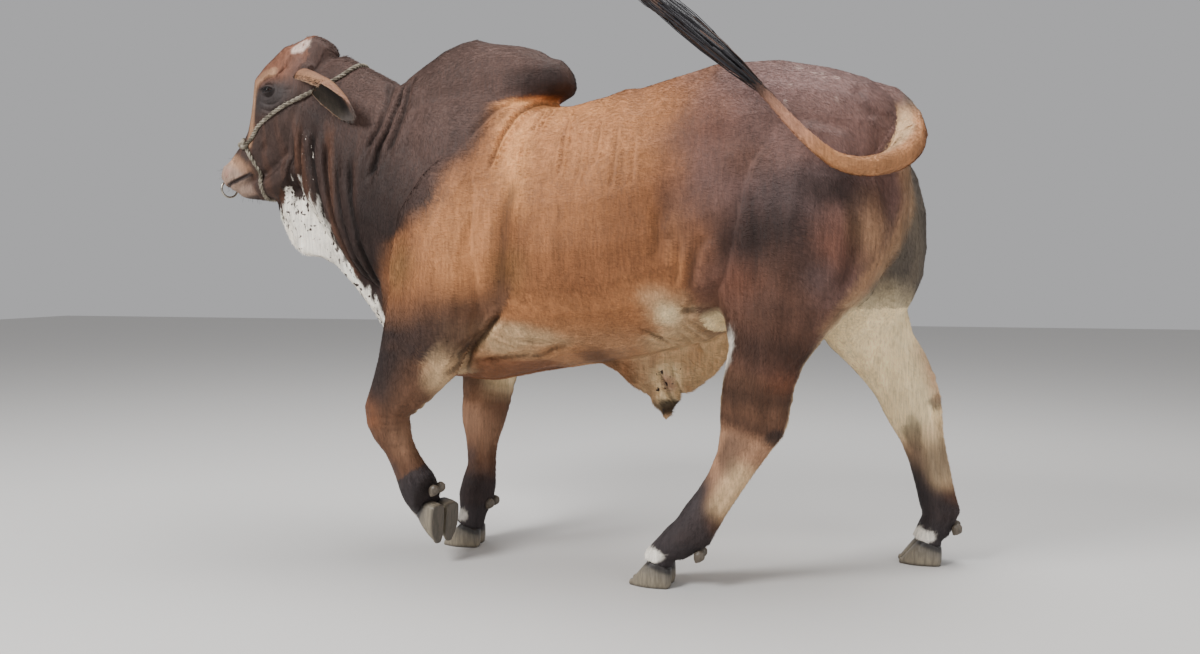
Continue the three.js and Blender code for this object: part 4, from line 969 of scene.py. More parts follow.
def routed(line, r, turns=0, phase=0, offset=0):
    """A function for swept that makes a tube along a line, which may wind round it."""
    line = np.asarray(line, float)
    ahead = unit(np.gradient(line, axis=0))
    side = np.cross(ahead[0], (0.31, 0.2, 0.93))
    sides = []
    for a in ahead:
        side = unit(side - a * (side @ a))
        sides.append(side)
    sides = np.array(sides)
    ups = np.cross(ahead, sides)
    last = len(line) - 1
    radius = np.broadcast_to(r, len(line))

    def place(u, v):
        k = v * last
        i = min(int(k), last - 1)
        f = k - i
        centre, a, b = (x[i] * (1 - f) + x[i + 1] * f for x in (line, sides, ups))
        wind = 2 * math.pi * turns * v + phase
        centre = centre + offset * (a * math.cos(wind) + b * math.sin(wind))
        angle = 2 * math.pi * u + wind
        size = radius[i] * (1 - f) + radius[i + 1] * f
        return Vector(centre + size * (a * math.cos(angle) + b * math.sin(angle)))

    return place


def lid_edge(c, s):
    """The height of the lid's edge at a place round the opening, given by its cosine and sine."""
    rise = OPENING["upper"] if s > 0 else OPENING["lower"]
    return rise * s * (1 - 0.25 * c * c) - OPENING["slant"] * c


def eye_centre(side):
    return np.array((EYE_AT[0], side * EYE_AT[1], EYE_AT[2]))


def eyelid_rings(hide_tree):
    """The lids, as rings that rise from the skin and fold over the eyeball."""
    bm = bmesh.new()
    for side in (-1, 1):
        outward, front, upward = eye_directions(side)
        centre = eye_centre(side)

        def place(u, v):
            angle = 2 * math.pi * u
            c, s = math.cos(angle), math.sin(angle)
            opening = np.array([OPENING["reach"] * c, lid_edge(c, s)])
            outer = np.array([44 * c, 37 * s + 2])
            at = opening + (outer - opening) * v ** 0.85
            ball = math.sqrt(max(0, (mm("eye") + 0.6) ** 2 - at @ at))
            start = placed(centre + front * outer[0] + upward * outer[1] + outward * 80)
            hit = hide_tree.ray_cast(Vector(start), Vector(-outward), 0.2)[0]
            skin = (drawn(hit) - centre) @ outward if hit else 5
            roll = 4.6 * hill(v, 0.14, 0.12) * ease(0, 0.1, v)
            crease = -3.0 * hill(v, 0.42, 0.09) + 2.2 * hill(v, 0.62, 0.12)
            crease -= 1.8 * hill(v, 0.8, 0.07)
            inner = ball if v < 0.35 else 0
            level = (1 - ease(0.15, 0.95, v)) * max(ball, 8) + ease(0.15, 0.95, v) * (skin - 0.8)
            level = max(level, inner * (1 - ease(0.2, 0.35, v))) + float(roll) + crease * (0.7 + 0.3 * s)
            return Vector(centre + front * at[0] + upward * at[1] + outward * float(level))

        swept(bm, 49, 18, place)
    return bm


def outside_solids(p, n):
    """How far points of the skin stand outside the nearest solid of the flesh, in millimetres."""
    corners, faces = [], []
    for name in FLESH:
        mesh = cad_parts[name].data
        base = len(corners)
        corners += [v.co.copy() for v in mesh.vertices]
        faces += [tuple(base + k for k in f.vertices) for f in mesh.polygons]
    solids = BVHTree.FromPolygons(corners, faces)
    out = np.zeros(len(p))
    for k, (q, turn) in enumerate(zip(placed(p), n)):
        at, normal, _, _ = solids.find_nearest(Vector(q), 0.03)
        if at is not None and normal @ Vector(turn) > 0.3:
            out[k] = (Vector(q) - at) @ normal * 1000
    return out


def make_hide():
    sizes = bpy.context.scene.bull_sizes
    body = flesh_copy()
    remesh = body.modifiers.new("even", "REMESH")
    remesh.mode = "VOXEL"
    remesh.voxel_size = sizes.voxel
    apply_modifiers(body)
    mesh = body.data
    reworked(mesh, keep_largest)
    p = drawn(read(mesh.vertices, "co", 3))
    seams = 0.35 + 0.25 * (ease(1250, 1330, p[:, 2]) * ease(1450, 1400, p[:, 2]) * (p[:, 0] > -560) * (p[:, 0] < 20))
    small = on_head(p) | (p[:, 2] < 200)
    p = relax(p, read(mesh.edges, "vertices", 2, int), 14, np.where(small, 0.25, seams + 0.1))
    write_points(mesh, placed(p))
    reworked(mesh, lambda bm: refine(bm, lambda q: on_head(q) | feet_detail(q) | tail_detail(q) | throat_detail(q)),
             lambda bm: refine(bm, head_detail))
    p = drawn(read(mesh.vertices, "co", 3))
    p = relax(p, read(mesh.edges, "vertices", 2, int), 4, np.full(len(p), 0.5))
    p = round_tail(p)
    write_points(mesh, placed(p))
    n = read(mesh.vertex_normals, "vector", 3)
    rise = folds(p, n) + swells(p, n) + leg_relief(p, n) + face_relief(p, n)
    rise += 0.7 * grain(p, (26, 26, 60), 41) + 1.6 * grain(p, 120, 42)
    # The skin lies inside the solids by the depth of the coat, which is less on the head and the legs.
    depth = sizes.coat * 1000 * (0.45 + 0.55 * ease(560, 700, p[:, 2]) * ~on_head(p) * ~tail_detail(p))
    rise = np.where(rise > 0, 4 * np.tanh(rise / 4), rise) - depth
    rise = np.minimum(rise, np.maximum(-0.4 - outside_solids(p, n), -depth))
    at_floor = ease(30, 60, p[:, 2])
    p = eye_hollow(p + n * (rise * at_floor)[:, None])
    write_points(mesh, boxed(placed(p)))
    thin = body.modifiers.new("thin", "DECIMATE")
    faces = sum(len(f.vertices) - 2 for f in mesh.polygons)
    thin.ratio = min(1.0, sizes.hide_triangles / faces)
    apply_modifiers(body)
    mesh = body.data
    tree = BVHTree.FromPolygons([v.co for v in mesh.vertices], [tuple(f.vertices) for f in mesh.polygons])
    lids = eyelid_rings(tree)
    points = placed([v.co for v in lids.verts])
    for v, q in zip(lids.verts, points):
        v.co = q
    bmesh.ops.recalc_face_normals(lids, faces=lids.faces)
    reworked(mesh, lambda bm: join_in(bm, lids), smoothed, lambda bm: bmesh.ops.triangulate(bm, faces=bm.faces))
    p, n = drawn(read(mesh.vertices, "co", 3)), read(mesh.vertex_normals, "vector", 3)
    colour, fleck = painted(p, n)
    for side in (-1, 1):
        outward, front, upward = eye_directions(side)
        off = p - eye_centre(side)
        d = np.hypot(off @ front / 21, off @ upward / 7.5)
        rim = ease(1.45, 1.0, d) * (np.abs(off @ outward) < 45)
        colour = over(colour, "black", rim[:, None] * 0.85)
    set_colour(mesh, "marking", colour)
    set_colour(mesh, "fleck", fleck)
    mesh.materials.clear()
    mesh.materials.append(coat_finish("hide_finish", 0))
    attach(body, "root")
    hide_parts(*FLESH)
    Hide.skin = Skin(mesh, lambda q, n, at: painted(q, n), lambda q, n, at: lie(q, n), lambda q, at: unwrap(q, "trunk"))
    Hide.tree = BVHTree.FromPolygons(placed(p).tolist(), Hide.skin.triangles.tolist())
    return body


# Materials


class Nodes:
    """Shorthand for the nodes of one material."""

    def __init__(self, name):
        self.material = bpy.data.materials.new(name)
        self.material.use_nodes = True
        self.tree = self.material.node_tree
        self.tree.nodes.clear()
        self.out = self.add("ShaderNodeOutputMaterial")
        self.shader = self.add("ShaderNodeBsdfPrincipled")
        self.link(self.shader.outputs["BSDF"], self.out.inputs["Surface"])

    def add(self, kind, **values):
        node = self.tree.nodes.new(kind)
        for key, value in values.items():
            setattr(node, key, value)
        return node

    def link(self, source, target):
        self.tree.links.new(source, target)

    def feed(self, node, values):
        """Sets inputs of a node to numbers, vectors or colours, or links them to outputs."""
        for key, value in values.items():
            slot = node.inputs[key]
            if isinstance(value, bpy.types.NodeSocket):
                self.link(value, slot)
            elif slot.type == "RGBA":
                slot.default_value = (*[float(x) for x in value[:3]], 1)
            else:
                slot.default_value = value
        return node

    def set(self, **values):
        self.feed(self.shader, {key.replace("_", " "): value for key, value in values.items()})

    def attribute(self, name, channel=None):
        node = self.add("ShaderNodeAttribute", attribute_name=name)
        if channel is None:
            return node.outputs["Color"]
        split = self.add("ShaderNodeSeparateColor")
        self.link(node.outputs["Color"], split.inputs[0])
        return split.outputs[channel]

    def noise(self, scale, size=1.0, detail=2.0, rough=0.5, warp=0.0):
        where = self.add("ShaderNodeTexCoord").outputs["Object"]
        mapping = self.feed(self.add("ShaderNodeMapping"), {"Scale": scale, "Vector": where})
        values = {"Scale": size, "Detail": detail, "Roughness": rough, "Distortion": warp, "Vector": mapping.outputs[0]}
        return self.feed(self.add("ShaderNodeTexNoise"), values).outputs["Fac"]

    def math(self, kind, a, b=0.0, c=0.0):
        return self.feed(self.add("ShaderNodeMath", operation=kind), {0: a, 1: b, 2: c}).outputs[0]

    def span(self, value, low, high, to_low=0.0, to_high=1.0):
        node = self.add("ShaderNodeMapRange", interpolation_type="SMOOTHSTEP")
        return self.feed(node, {0: value, 1: low, 2: high, 3: to_low, 4: to_high}).outputs[0]

    def mix(self, share, a, b, kind="MIX"):
        node = self.add("ShaderNodeMix", data_type="RGBA", blend_type=kind)
        return self.feed(node, {0: share, 6: a, 7: b}).outputs[2]

    def toned(self, base, tone):
        """A colour made lighter or darker by a grey tone."""
        grey = self.feed(self.add("ShaderNodeCombineColor"), dict.fromkeys(range(3), tone))
        return self.mix(1.0, base, grey.outputs[0], "MULTIPLY")

    def bump(self, height, distance, strength=1.0):
        values = {"Distance": distance, "Strength": strength, "Height": height}
        self.set(Normal=self.feed(self.add("ShaderNodeBump"), values).outputs[0])


def coat_finish(name, strands):
    """Short coat over skin: markings, flecks and fine streaks along the lie of the hair."""
    m = Nodes(name)
    base = m.attribute("marking")
    dark_much, white_much = m.attribute("fleck", 0), m.attribute("fleck", 1)
    spots = m.noise((74, 74, 56), 1.0, 1.0, 0.5, 0.3)
    dark = m.span(m.math("ADD", spots, m.math("MULTIPLY", dark_much, 0.16)), 0.75, 0.78)
    dark = m.math("MULTIPLY", dark, m.span(dark_much, 0.02, 0.12))
    specks = m.noise((120, 120, 40), 1.0, 2.0, 0.6, 0.5)
    white = m.span(m.math("ADD", specks, m.math("MULTIPLY", white_much, 0.26)), 0.80, 0.84)
    white = m.math("MULTIPLY", white, m.span(white_much, 0.02, 0.2))
    streaks = m.noise((190, 190, 16), 1.0, 3.0, 0.6)
    broad = m.noise((48, 48, 7), 1.0, 2.0, 0.5)
    tone = m.math("ADD", m.span(streaks, 0.25, 0.75, 0.80, 1.20), m.span(broad, 0.3, 0.7, -0.08, 0.08))
    if strands:
        tone = m.math("MULTIPLY", tone, m.attribute("strand", 0))
    colour = m.toned(base, tone)
    colour = m.mix(dark, colour, shade("dark_fleck"))
    colour = m.mix(white, colour, shade("white_fleck"))
    m.set(Base_Color=colour, Roughness=m.span(streaks, 0.3, 0.7, 0.56, 0.74), Specular_IOR_Level=0.2)
    if not strands:
        pores = m.noise((420, 420, 60), 1.0, 2.0, 0.6)
        m.bump(m.math("ADD", m.math("MULTIPLY", streaks, 1.0), m.math("MULTIPLY", pores, 0.5)), 0.0022, 0.55)
    return m.material


# The ears

# Sections of an ear from root to tip: its middle, the way its back faces, its width and its curl.
EAR = [((-808, 76, 1500), (0.2, 0.6, 0.8), 78, 190), ((-724, 188, 1472), (0.36, -0.12, 0.85), 126, 205),
       ((-667, 178, 1437), (0.51, -0.5, 0.62), 168, 146), ((-622, 166, 1384), (0.59, -0.62, 0.56), 154, 104),
       ((-592, 170, 1326), (0.47, -0.68, 0.47), 95, 73)]


def at_share(line, share):
    """The point at a share of a line given as evenly timed samples."""
    k = share * (len(line) - 1)
    i = min(int(k), len(line) - 2)
    return line[i] + (line[i + 1] - line[i]) * (k - i)


def make_ear(side, word):
    mirror = np.array([1, side, 1])
    middle = smooth_line([np.array(s[0]) * mirror for s in EAR], 121)
    crown = smooth_line([np.array(s[1]) * mirror for s in EAR], 121)
    form = smooth_line([(s[2], s[3]) for s in EAR], 121)
    tangents = np.gradient(middle, axis=0)

    def place(u, v):
        turn = 2 * math.pi * u
        share = 0.5 - 0.5 * math.cos(math.pi * (0.02 + 0.98 * v))
        ring = max(0, math.sin(share * math.pi))
        swell = math.sqrt(max(0, 1 - abs(2 * share - 1) ** 6))
        wide, curl = at_share(form, share)
        curl = math.radians(curl)
        ahead = unit(at_share(tangents, share))
        out = at_share(crown, share)
        out = unit(out - ahead * (out @ ahead))
        edge = np.cross(out, ahead)
        bow = wide * min(1, swell + 0.1) / curl
        across = -math.cos(turn)
        angle = across * swell * curl / 2
        thick = mm("ear") / 2 * min(1, ring * 3)
        level = bow + math.sin(turn) * thick
        if math.sin(turn) < 0:
            ribs = math.cos(across * 10.5) * hill(across, 0, 0.75) * ease(0.02, 0.25, share) * ease(0.8, 0.5, share)
            level -= 1.6 * float(ribs) * -math.sin(turn)
            level += 1.3 * -math.sin(turn)
        else:
            veins = math.sin(across * 9 + 3 * share) * math.sin(share * math.pi)
            level -= (0.7 + 0.5 * veins) * math.sin(turn)
        return Vector(at_share(middle, share) + out * (level * math.cos(angle) - bow) + edge * level * math.sin(angle))

    bm = bmesh.new()
    swept(bm, 73, 60, place)
    cap_ends(bm)
    p = np.array([v.co for v in bm.verts])
    u, v = (np.array([w[bm.verts.layers.float[name]] for w in bm.verts]) for name in ("across", "along"))
    share = 0.5 - 0.5 * np.cos(math.pi * (0.02 + 0.98 * v))
    across, inner = -np.cos(2 * math.pi * u), ease(0.1, -0.1, np.sin(2 * math.pi * u))
    colour = np.tile(shade("ear"), (len(p), 1))

    def lay(mask, name, much=1.0):
        nonlocal colour
        colour = over(colour, name, (np.clip(mask, 0, 1) * much)[:, None])

    lay(ease(-0.4, 0.6, grain(p, (40, 40, 70), 51)), "ear_mottle", 0.5)
    lay(ease(0.25, 0.0, share), "ear_root", 0.85)
    lay(ease(-0.2, -0.8, across) * ease(0.2, 0.4, share), "ear_front", 0.6)
    # The inner side is painted dark as shade in the hollow of the ear, and its hair and pink skin are laid over that.
    lay(inner, "ear_inside")
    lay(inner * ease(0.3, 0.7, across), "ear_hair", 0.8)
    lay(inner * ease(0.2, -0.3, across) * ease(0.4, 0.55, share), "ear_pink", 0.85)
    lay(ease(0.75, 0.92, share + 0.03 * grain(p, 30, 52)), "ear_tip", 0.9)
    lay(ease(0.975, 0.995, np.abs(across)) * ease(0.08, 0.3, share) * ease(0.95, 0.8, share), "ear_rim", 0.7)
    colour *= (1 + 0.12 * grain(p, (12, 12, 40), 53))[:, None]
    ear = mesh_object(bm, "ear_skin_" + word, "ear_hide", coat_finish("ear_finish_" + word, 0))
    set_colour(ear.data, "marking", colour)
    set_colour(ear.data, "fleck", np.zeros((len(p), 4)))
    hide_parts("ear_" + word)
    ways, flat = np.array([at_share(tangents, k) for k in share]), np.column_stack([u, v])
    inward = np.where(inner > 0.5, 1.0, 0.0) * ease(0.35, 0.9, np.abs(across))
    plain = np.zeros((1, 4))
    skin = Skin(ear.data, lambda q, n, at: (at(colour), plain + 0 * q[:, :1]), lambda q, n, at: at(ways),
                lambda q, at: at(flat))
    reach = np.column_stack([9 + 9 * inward, 2.2 + 3 * inward])
    growth = Growth(lambda q, at: at(reach)[:, 0], lambda q, at: 1.5 + 0 * q[:, 0], lambda q, at: at(reach)[:, 1])
    tuft_mesh("ear_tufts_" + word, "ear_hide", skin, EAR_TUFTS, lambda q: np.ones(len(q)), growth, 70 + side)
    return ear


# The eyes


def eye_finish():
    m = Nodes("eye_finish")
    m.set(Base_Color=m.attribute("marking"), Roughness=0.16, Specular_IOR_Level=0.4, Coat_Weight=0.3,
          Coat_Roughness=0.08)
    return m.material


def make_eye(side, word):
    outward, front, upward = eye_directions(side)
    centre = eye_centre(side)
    gaze = unit(outward + 0.12 * front)
    bm = bmesh.new()
    bmesh.ops.create_uvsphere(bm, u_segments=48, v_segments=32, radius=1)
    shades = []
    for v in bm.verts:
        d = np.array(v.co)
        local = unit(front * d[0] + upward * d[1] + gaze * d[2])
        toward = float(local @ gaze)
        bulge = 0.9 * float(ease(0.80, 0.97, toward))
        v.co = centre + local * (mm("eye") - 0.7 + bulge)
        a, b = float(local @ front), float(local @ upward)
        radial = math.hypot(a, b)
        pupil = ease(0.30, 0.24, math.hypot(a * 0.75, b * 1.5)) if toward > 0 else 0
        iris = float(ease(0.66, 0.58, radial)) if toward > 0 else 0
        tone = shade("eye_rim") * (1 - iris)
        ray = 0.5 + 0.5 * math.sin(math.atan2(b, a) * 23 + 3 * math.sin(math.atan2(b, a) * 7))
        tone = tone + iris * (shade("iris") * (0.6 + 0.6 * ray) * (1 - pupil) + shade("pupil") * pupil)
        shades.append(tone)
    eye = mesh_object(bm, "eyeball_" + word, "eye", eye_finish())
    set_colour(eye.data, "marking", np.array(shades))
    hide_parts("eye_" + word)
    return eye


# The hooves

# The line of the coronet in the foot's own frame, front and heel.
CORONET_CUT = ((-14, 73), (64, 46))
# Sections of one claw from the heel to the toe: place, height and half width.
CLAW = [(-56, 16, 12), (-38, 38, 21), (-12, 68, 26), (16, 86, 27), (42, 80, 25)]
# How far the claws stand apart, half the share of their height that is pressed flat, and a dewclaw's radii and place.
CLAW_OUT, CLAW_PRESSED = 28, 0.08
DEWCLAW = ((16, 12, 19), 25)


def horn_finish():
    m = Nodes("horn_finish")
    streak = m.noise((160, 160, 22), 1.0, 3.0, 0.6, 0.3)
    tone = m.span(streak, 0.3, 0.7, 0.72, 1.18)
    m.set(Base_Color=m.toned(m.attribute("marking"), tone), Roughness=m.span(streak, 0.3, 0.7, 0.35, 0.55))
    rings = m.noise((30, 30, 420), 1.0, 2.0, 0.5, 0.4)
    m.bump(m.math("ADD", rings, m.math("MULTIPLY", streak, 0.6)), 0.0012, 0.5)
    return m.material


def rounded(angle, full):
    c, s = math.cos(angle), math.sin(angle)
    return (math.copysign(abs(c) ** (2 / full), c), math.copysign(abs(s) ** (2 / full), s))


def make_hoof(name):
    foot = FEET[name]
    axes = foot_frame(foot)
    (fx, fz), (hx, hz) = CORONET_CUT
    cut = unit(np.array((fz - hz, 0, hx - fx), float))
    cut_at = np.array(((fx + hx) / 2, 0, (fz + hz) / 2))
    whole = bmesh.new()
    shades = []
    for side in (-1, 1):
        sections = []
        for x, top, half in CLAW:
            y = side * CLAW_OUT * min(1, 0.75 + (x - CLAW[0][0]) / 200)
            sections.append((x, y, top * (0.5 - CLAW_PRESSED), top * (0.5 + CLAW_PRESSED), half))
        line = smooth_line(sections, 81)

        def place(u, v):
            turn = 2 * math.pi * u
            body = min(1, max(0, (v - 0.18) / 0.64))
            x, y, z, tall, half = at_share(line, body)
            from_end = min(v / 0.18, (1 - v) / 0.18, 1) * math.pi / 2
            ring = math.sin(from_end)
            x += (-9 if v < 0.5 else 16) * math.cos(from_end)
            c, s = rounded(turn, 2.8)
            up = s * tall * ring
            return Vector((x, y + c * half * ring, max(0, z + up)))

        bm = bmesh.new()
        swept(bm, 49, 44, place)
        bmesh.ops.remove_doubles(bm, verts=bm.verts, dist=0.05)
        geom = list(bm.verts) + list(bm.edges) + list(bm.faces)
        bmesh.ops.bisect_plane(bm, geom=geom, dist=0.01, plane_co=Vector(cut_at + cut * 5), plane_no=Vector(cut),
                               clear_outer=True)
        cap_ends(bm)
        for v in bm.verts:
            q = np.array(v.co)
            below = (cut_at - q) @ cut
            on_wall = ease(2, 9, q[2]) * ease(-6, 3, below)
            groove = 0.5 * math.sin(below * 0.72) + 0.35 * math.sin(below * 1.9 + 1)
            v.co -= v.normal * float(on_wall) * (0.55 - 0.5 * groove)
            q = np.array(v.co)
            below = (cut_at - q) @ cut
            tone = over(shade("horn"), "horn_pale", float(ease(10, 46, below)) * 0.55)
            tone = over(tone, "horn_crown", float(ease(16, 3, below)))
            shades.append(over(tone, "horn_sole", float(ease(11, 0, q[2])) * 0.8))
            v.co = Vector(axes @ q + np.array(foot["at"]))
        join_in(whole, bm)
        fetlock = np.array(LEG_ENDS[name], float)
        at = fetlock + (foot["dewclaw"][0], side * DEWCLAW[1], foot["dewclaw"][1])
        bm = bmesh.new()
        bmesh.ops.create_uvsphere(bm, u_segments=20, v_segments=14, radius=1)
        lean = turned(0, 0.5)
        for v in bm.verts:
            q = np.array(v.co)
            taper = 1 - 0.34 * float(ease(0.2, -1, q[2]))
            q = q * DEWCLAW[0] * (taper, taper, 1) * (1 - 0.03 * math.sin(q[2] * 14))
            v.co = Vector(at + lean @ q)
            shades.append(shade("dewclaw") * (0.9 + 0.25 * float(ease(0, -15, q[2]))))
        join_in(whole, bm)
    hoof = mesh_object(whole, "hooves_" + name, "horn", horn_finish())
    set_colour(hoof.data, "marking", np.array(shades))
    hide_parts(*[kind + name + end for kind in ("claw_", "dewclaw_") for end in ("_left", "_right")])
    return hoof


# The halter and the nose ring

# How far the rope sinks into the coat, the radius of the knots' cord, and the reach and radius of its loose fibres.
ROPE_SUNK, KNOT_R, FIBRE, FIBRE_R = 2.5, 5.6, 7, 0.45
KNOT = ((-1036, -84, 1284), (-1020, 1250), (19, 14, 17))
CHEEK = ((-1036, -84, 1284), (-1010, 1250))
ROPES = {
    "halter_headstall": [CHEEK, ((-1004, -100, 1308), (-980, 1280)), ((-969, -105, 1333), (-950, 1310)),
                         ((-920, -115, 1358), (-905, 1340)), ((-872, -120, 1382), (-860, 1370)),
                         ((-820, -125, 1408), (-812, 1400)), ((-768, -125, 1432), (-765, 1420)),
                         ((-715, -120, 1462), (-720, 1420)), ((-672, -100, 1500), (-690, 1410)),
                         ((-645, -55, 1535), (-675, 1400)), ((-636, 0, 1545), (-670, 1400))],
    "halter_nose": [CHEEK, ((-1058, -60, 1300), (-1010, 1240)), ((-1068, -30, 1310), (-1010, 1235)),
                    ((-1072, 0, 1314), (-1010, 1235))],
    "halter_chin": [CHEEK, ((-1008, -88, 1240), (-990, 1220)), ((-982, -84, 1192), (-975, 1180)),
                    ((-976, -66, 1148), (-974, 1160)), ((-976, -34, 1116), (-974, 1160)),
                    ((-976, 0, 1106), (-974, 1160))],
}
# One turn of the rope's three strands.
TWIST = 42
# The nose ring: its middle, its radius, that of its wire and its turn.
NOSE_RING = ((-1130, 0, 1144), 27, 3.5, -0.5)


def on_hide(at, aim, out):
    """Where a ray from outside towards the middle plane meets the hide, moved outward by a distance."""
    target = np.array((aim[0], 0, aim[1]), float)
    start = target + 3 * (np.array(at, float) - target)
    ahead = unit(target - start)
    hit = Hide.tree.ray_cast(Vector(placed(start)), Vector(ahead), 1.0)[0]
    if hit is None:
        raise RuntimeError("no hide below a guide of the halter")
    return drawn(hit) - ahead * out


def rope_finish():
    m = Nodes("rope_finish")
    fibres = m.noise((420, 420, 420), 1.0, 3.0, 0.7, 0.6)
    worn = m.noise((40, 40, 40), 1.0, 2.0, 0.6, 0.4)
    base = m.mix(m.span(worn, 0.4, 0.62), shade("rope"), shade("rope_worn"))
    base = m.mix(m.span(fibres, 0.35, 0.62), m.mix(0.5, base, shade("rope_fibre")), base)
    m.set(Base_Color=base, Roughness=0.85, Specular_IOR_Level=0.2)
    m.bump(fibres, 0.0012, 0.7)
    return m.material


def fuzz(bm, route, r, count, seed):
    """Loose fibre ends that stand off a rope, as thin spikes."""
    draw = np.random.default_rng(seed)
    for _ in range(count):
        i = int(draw.integers(1, len(route) - 2))
        ahead = unit(route[i + 1] - route[i])
        out = unit(np.cross(ahead, draw.normal(size=3)))
        root = route[i] + out * r * 0.8
        tip = root + (out * draw.uniform(0.4, 1) + ahead * draw.uniform(-1, 1)) * FIBRE * draw.uniform(0.4, 1)
        made = bmesh.ops.create_cone(bm, cap_ends=False, segments=3, radius1=FIBRE_R, radius2=0.0, depth=1)["verts"]
        turn = Vector(tip - root).to_track_quat("Z", "Y").to_matrix().to_4x4()
        length = float(np.linalg.norm(tip - root))
        move = Matrix.Translation(Vector(root + (tip - root) / 2)) @ turn @ Matrix.Diagonal((1, 1, length, 1))
        bmesh.ops.transform(bm, matrix=move, verts=made)


def make_halter():
    for name, guides in ROPES.items():
        right = [((x, -y, z), aim) for (x, y, z), aim in guides[-2::-1]]
        route = [on_hide(at, aim, mm("rope") - ROPE_SUNK) for at, aim in guides + right]
        line = smooth_line(route, 40 * len(route))
        length = np.linalg.norm(np.diff(line, axis=0), axis=1).sum()
        bm = bmesh.new()
        for strand in range(3):
            r, phase = 0.45 * mm("rope"), strand * 2 * math.pi / 3
            swept(bm, 11, int(length / 3.2), routed(line, r, length / TWIST, phase, r))
        cap_ends(bm)
        fuzz(bm, line, mm("rope"), int(length * 0.5), len(name))
        rope = mesh_object(bm, name + "_rope", "rope", rope_finish())
        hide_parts(name)
    for side, word in SIDES:
        (x, y, z), aim, radii = KNOT
        centre = on_hide((x, side * abs(y), z), aim, radii[1] - ROPE_SUNK)
        inward = unit(np.array((0.25, -side, -0.1)))
        first = unit(np.cross(inward, (0, 0, 1.0)))
        second = np.cross(inward, first)
        t = np.linspace(0, 2 * math.pi, 161)
        loop = (np.sin(t) + 2 * np.sin(2 * t), np.cos(t) - 2 * np.cos(2 * t), -np.sin(3 * t))
        line = centre + np.outer(loop[0], first) * 4.2 + np.outer(loop[1], second) * 4.0
        line = line - np.outer(loop[2], inward) * 6.0
        bm = bmesh.new()
        swept(bm, 13, 160, routed(line, KNOT_R))
        cap_ends(bm)
        fuzz(bm, line, KNOT_R, 60, 30 + side)
        knot = mesh_object(bm, "halter_knot_rope_" + word, "rope", rope_finish())
        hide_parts("halter_knot_" + word)


def make_ring():
    at, r, wire, turn = NOSE_RING
    bm = bmesh.new()
    axes = turned(turn, 0)

    def place(u, v):
        a, b = 2 * math.pi * u, 2 * math.pi * v
        reach = r + wire * math.cos(a)
        q = np.array((wire * math.sin(a), reach * math.cos(b), reach * math.sin(b)))
        return Vector(axes @ q + np.array(at, float))

    swept(bm, 17, 97, place)
    bmesh.ops.remove_doubles(bm, verts=bm.verts, dist=0.01)
    bmesh.ops.recalc_face_normals(bm, faces=bm.faces)
    m = Nodes("ring_finish")
    worn = m.noise((60, 60, 60), 1.0, 3.0, 0.6)
    m.set(Base_Color=m.mix(worn, shade("ring"), shade("ring_worn")), Roughness=m.span(worn, 0.3, 0.7, 0.22, 0.42),
          Metallic=1.0)
    ring = mesh_object(bm, "nose_ring_bar", "ring", m.material)
    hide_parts("nose_ring")


# The long hair


def hair_finish(name):
    m = Nodes(name)
    streaks = m.noise((240, 240, 60), 1.0, 3.0, 0.6)
    tone = m.math("MULTIPLY", m.span(streaks, 0.3, 0.7, 0.7, 1.3), m.attribute("strand", 0))
    m.set(Base_Color=m.toned(m.attribute("marking"), tone), Roughness=0.48, Specular_IOR_Level=0.45)
    return m.material


def locks_mesh(roots, tips, bends, wide, thick, rows=7):
    """Flat tapered locks: a lens-shaped section swept from each root to its tip.

    Gives the points, the triangles, how far along its lock each point is, and the points of one lock.
    """
    count = len(roots)
    v = np.linspace(0, 1, rows)
    taper = (1 - v ** 2.2)[None, :, None]
    middle = roots[:, None] + (tips - roots)[:, None] * v[None, :, None]
    middle = middle + bends[:, None] * np.sin(math.pi * v ** 0.8)[None, :, None]
    ahead = unit(np.gradient(middle, axis=1))
    facing = bends + 1e-6
    side = unit(np.cross(ahead, facing[:, None]))
    up = np.cross(side, ahead)
    corners = [side * wide[:, None, None] / 2, up * thick[:, None, None] / 2,
               -side * wide[:, None, None] / 2, -up * thick[:, None, None] / 2]
    rings = np.stack([middle + c * taper * (0.55 + 0.45 * np.sin(math.pi * np.minimum(1, v * 2.4) / 2))[None, :, None]
                      for c in corners], axis=2)
    rings = rings[:, :-1]
    points = np.concatenate([rings.reshape(count, -1, 3), middle[:, -1:]], axis=1)
    per = points.shape[1]
    faces = []
    for k in range(rows - 2):
        for j in range(4):
            a, b = 4 * k + j, 4 * k + (j + 1) % 4
            faces += [(a, b, b + 4), (a, b + 4, a + 4)]
    for j in range(4):
        faces.append((4 * (rows - 2) + j, 4 * (rows - 2) + (j + 1) % 4, per - 1))
    faces += [(0, 3, 2), (0, 2, 1)]
    faces = np.array(faces)
    triangles = (faces[None] + per * np.arange(count)[:, None, None]).reshape(-1, 3)
    along = np.concatenate([np.repeat(v[:-1], 4), [1.0]])
    return points.reshape(-1, 3), triangles, np.tile(along, count), per


def array_mesh(name, points, triangles):
    mesh = bpy.data.meshes.new(name)
    mesh.vertices.add(len(points))
    mesh.vertices.foreach_set("co", np.asarray(boxed(placed(points)), np.float32).ravel())
    mesh.loops.add(triangles.size)
    mesh.loops.foreach_set("vertex_index", triangles.ravel().astype(np.int32))
    mesh.polygons.add(len(triangles))
    mesh.polygons.foreach_set("loop_start", (np.arange(len(triangles)) * 3).astype(np.int32))
    mesh.update(calc_edges=True)
    mesh.polygons.foreach_set("use_smooth", np.ones(len(triangles), bool))
    return mesh


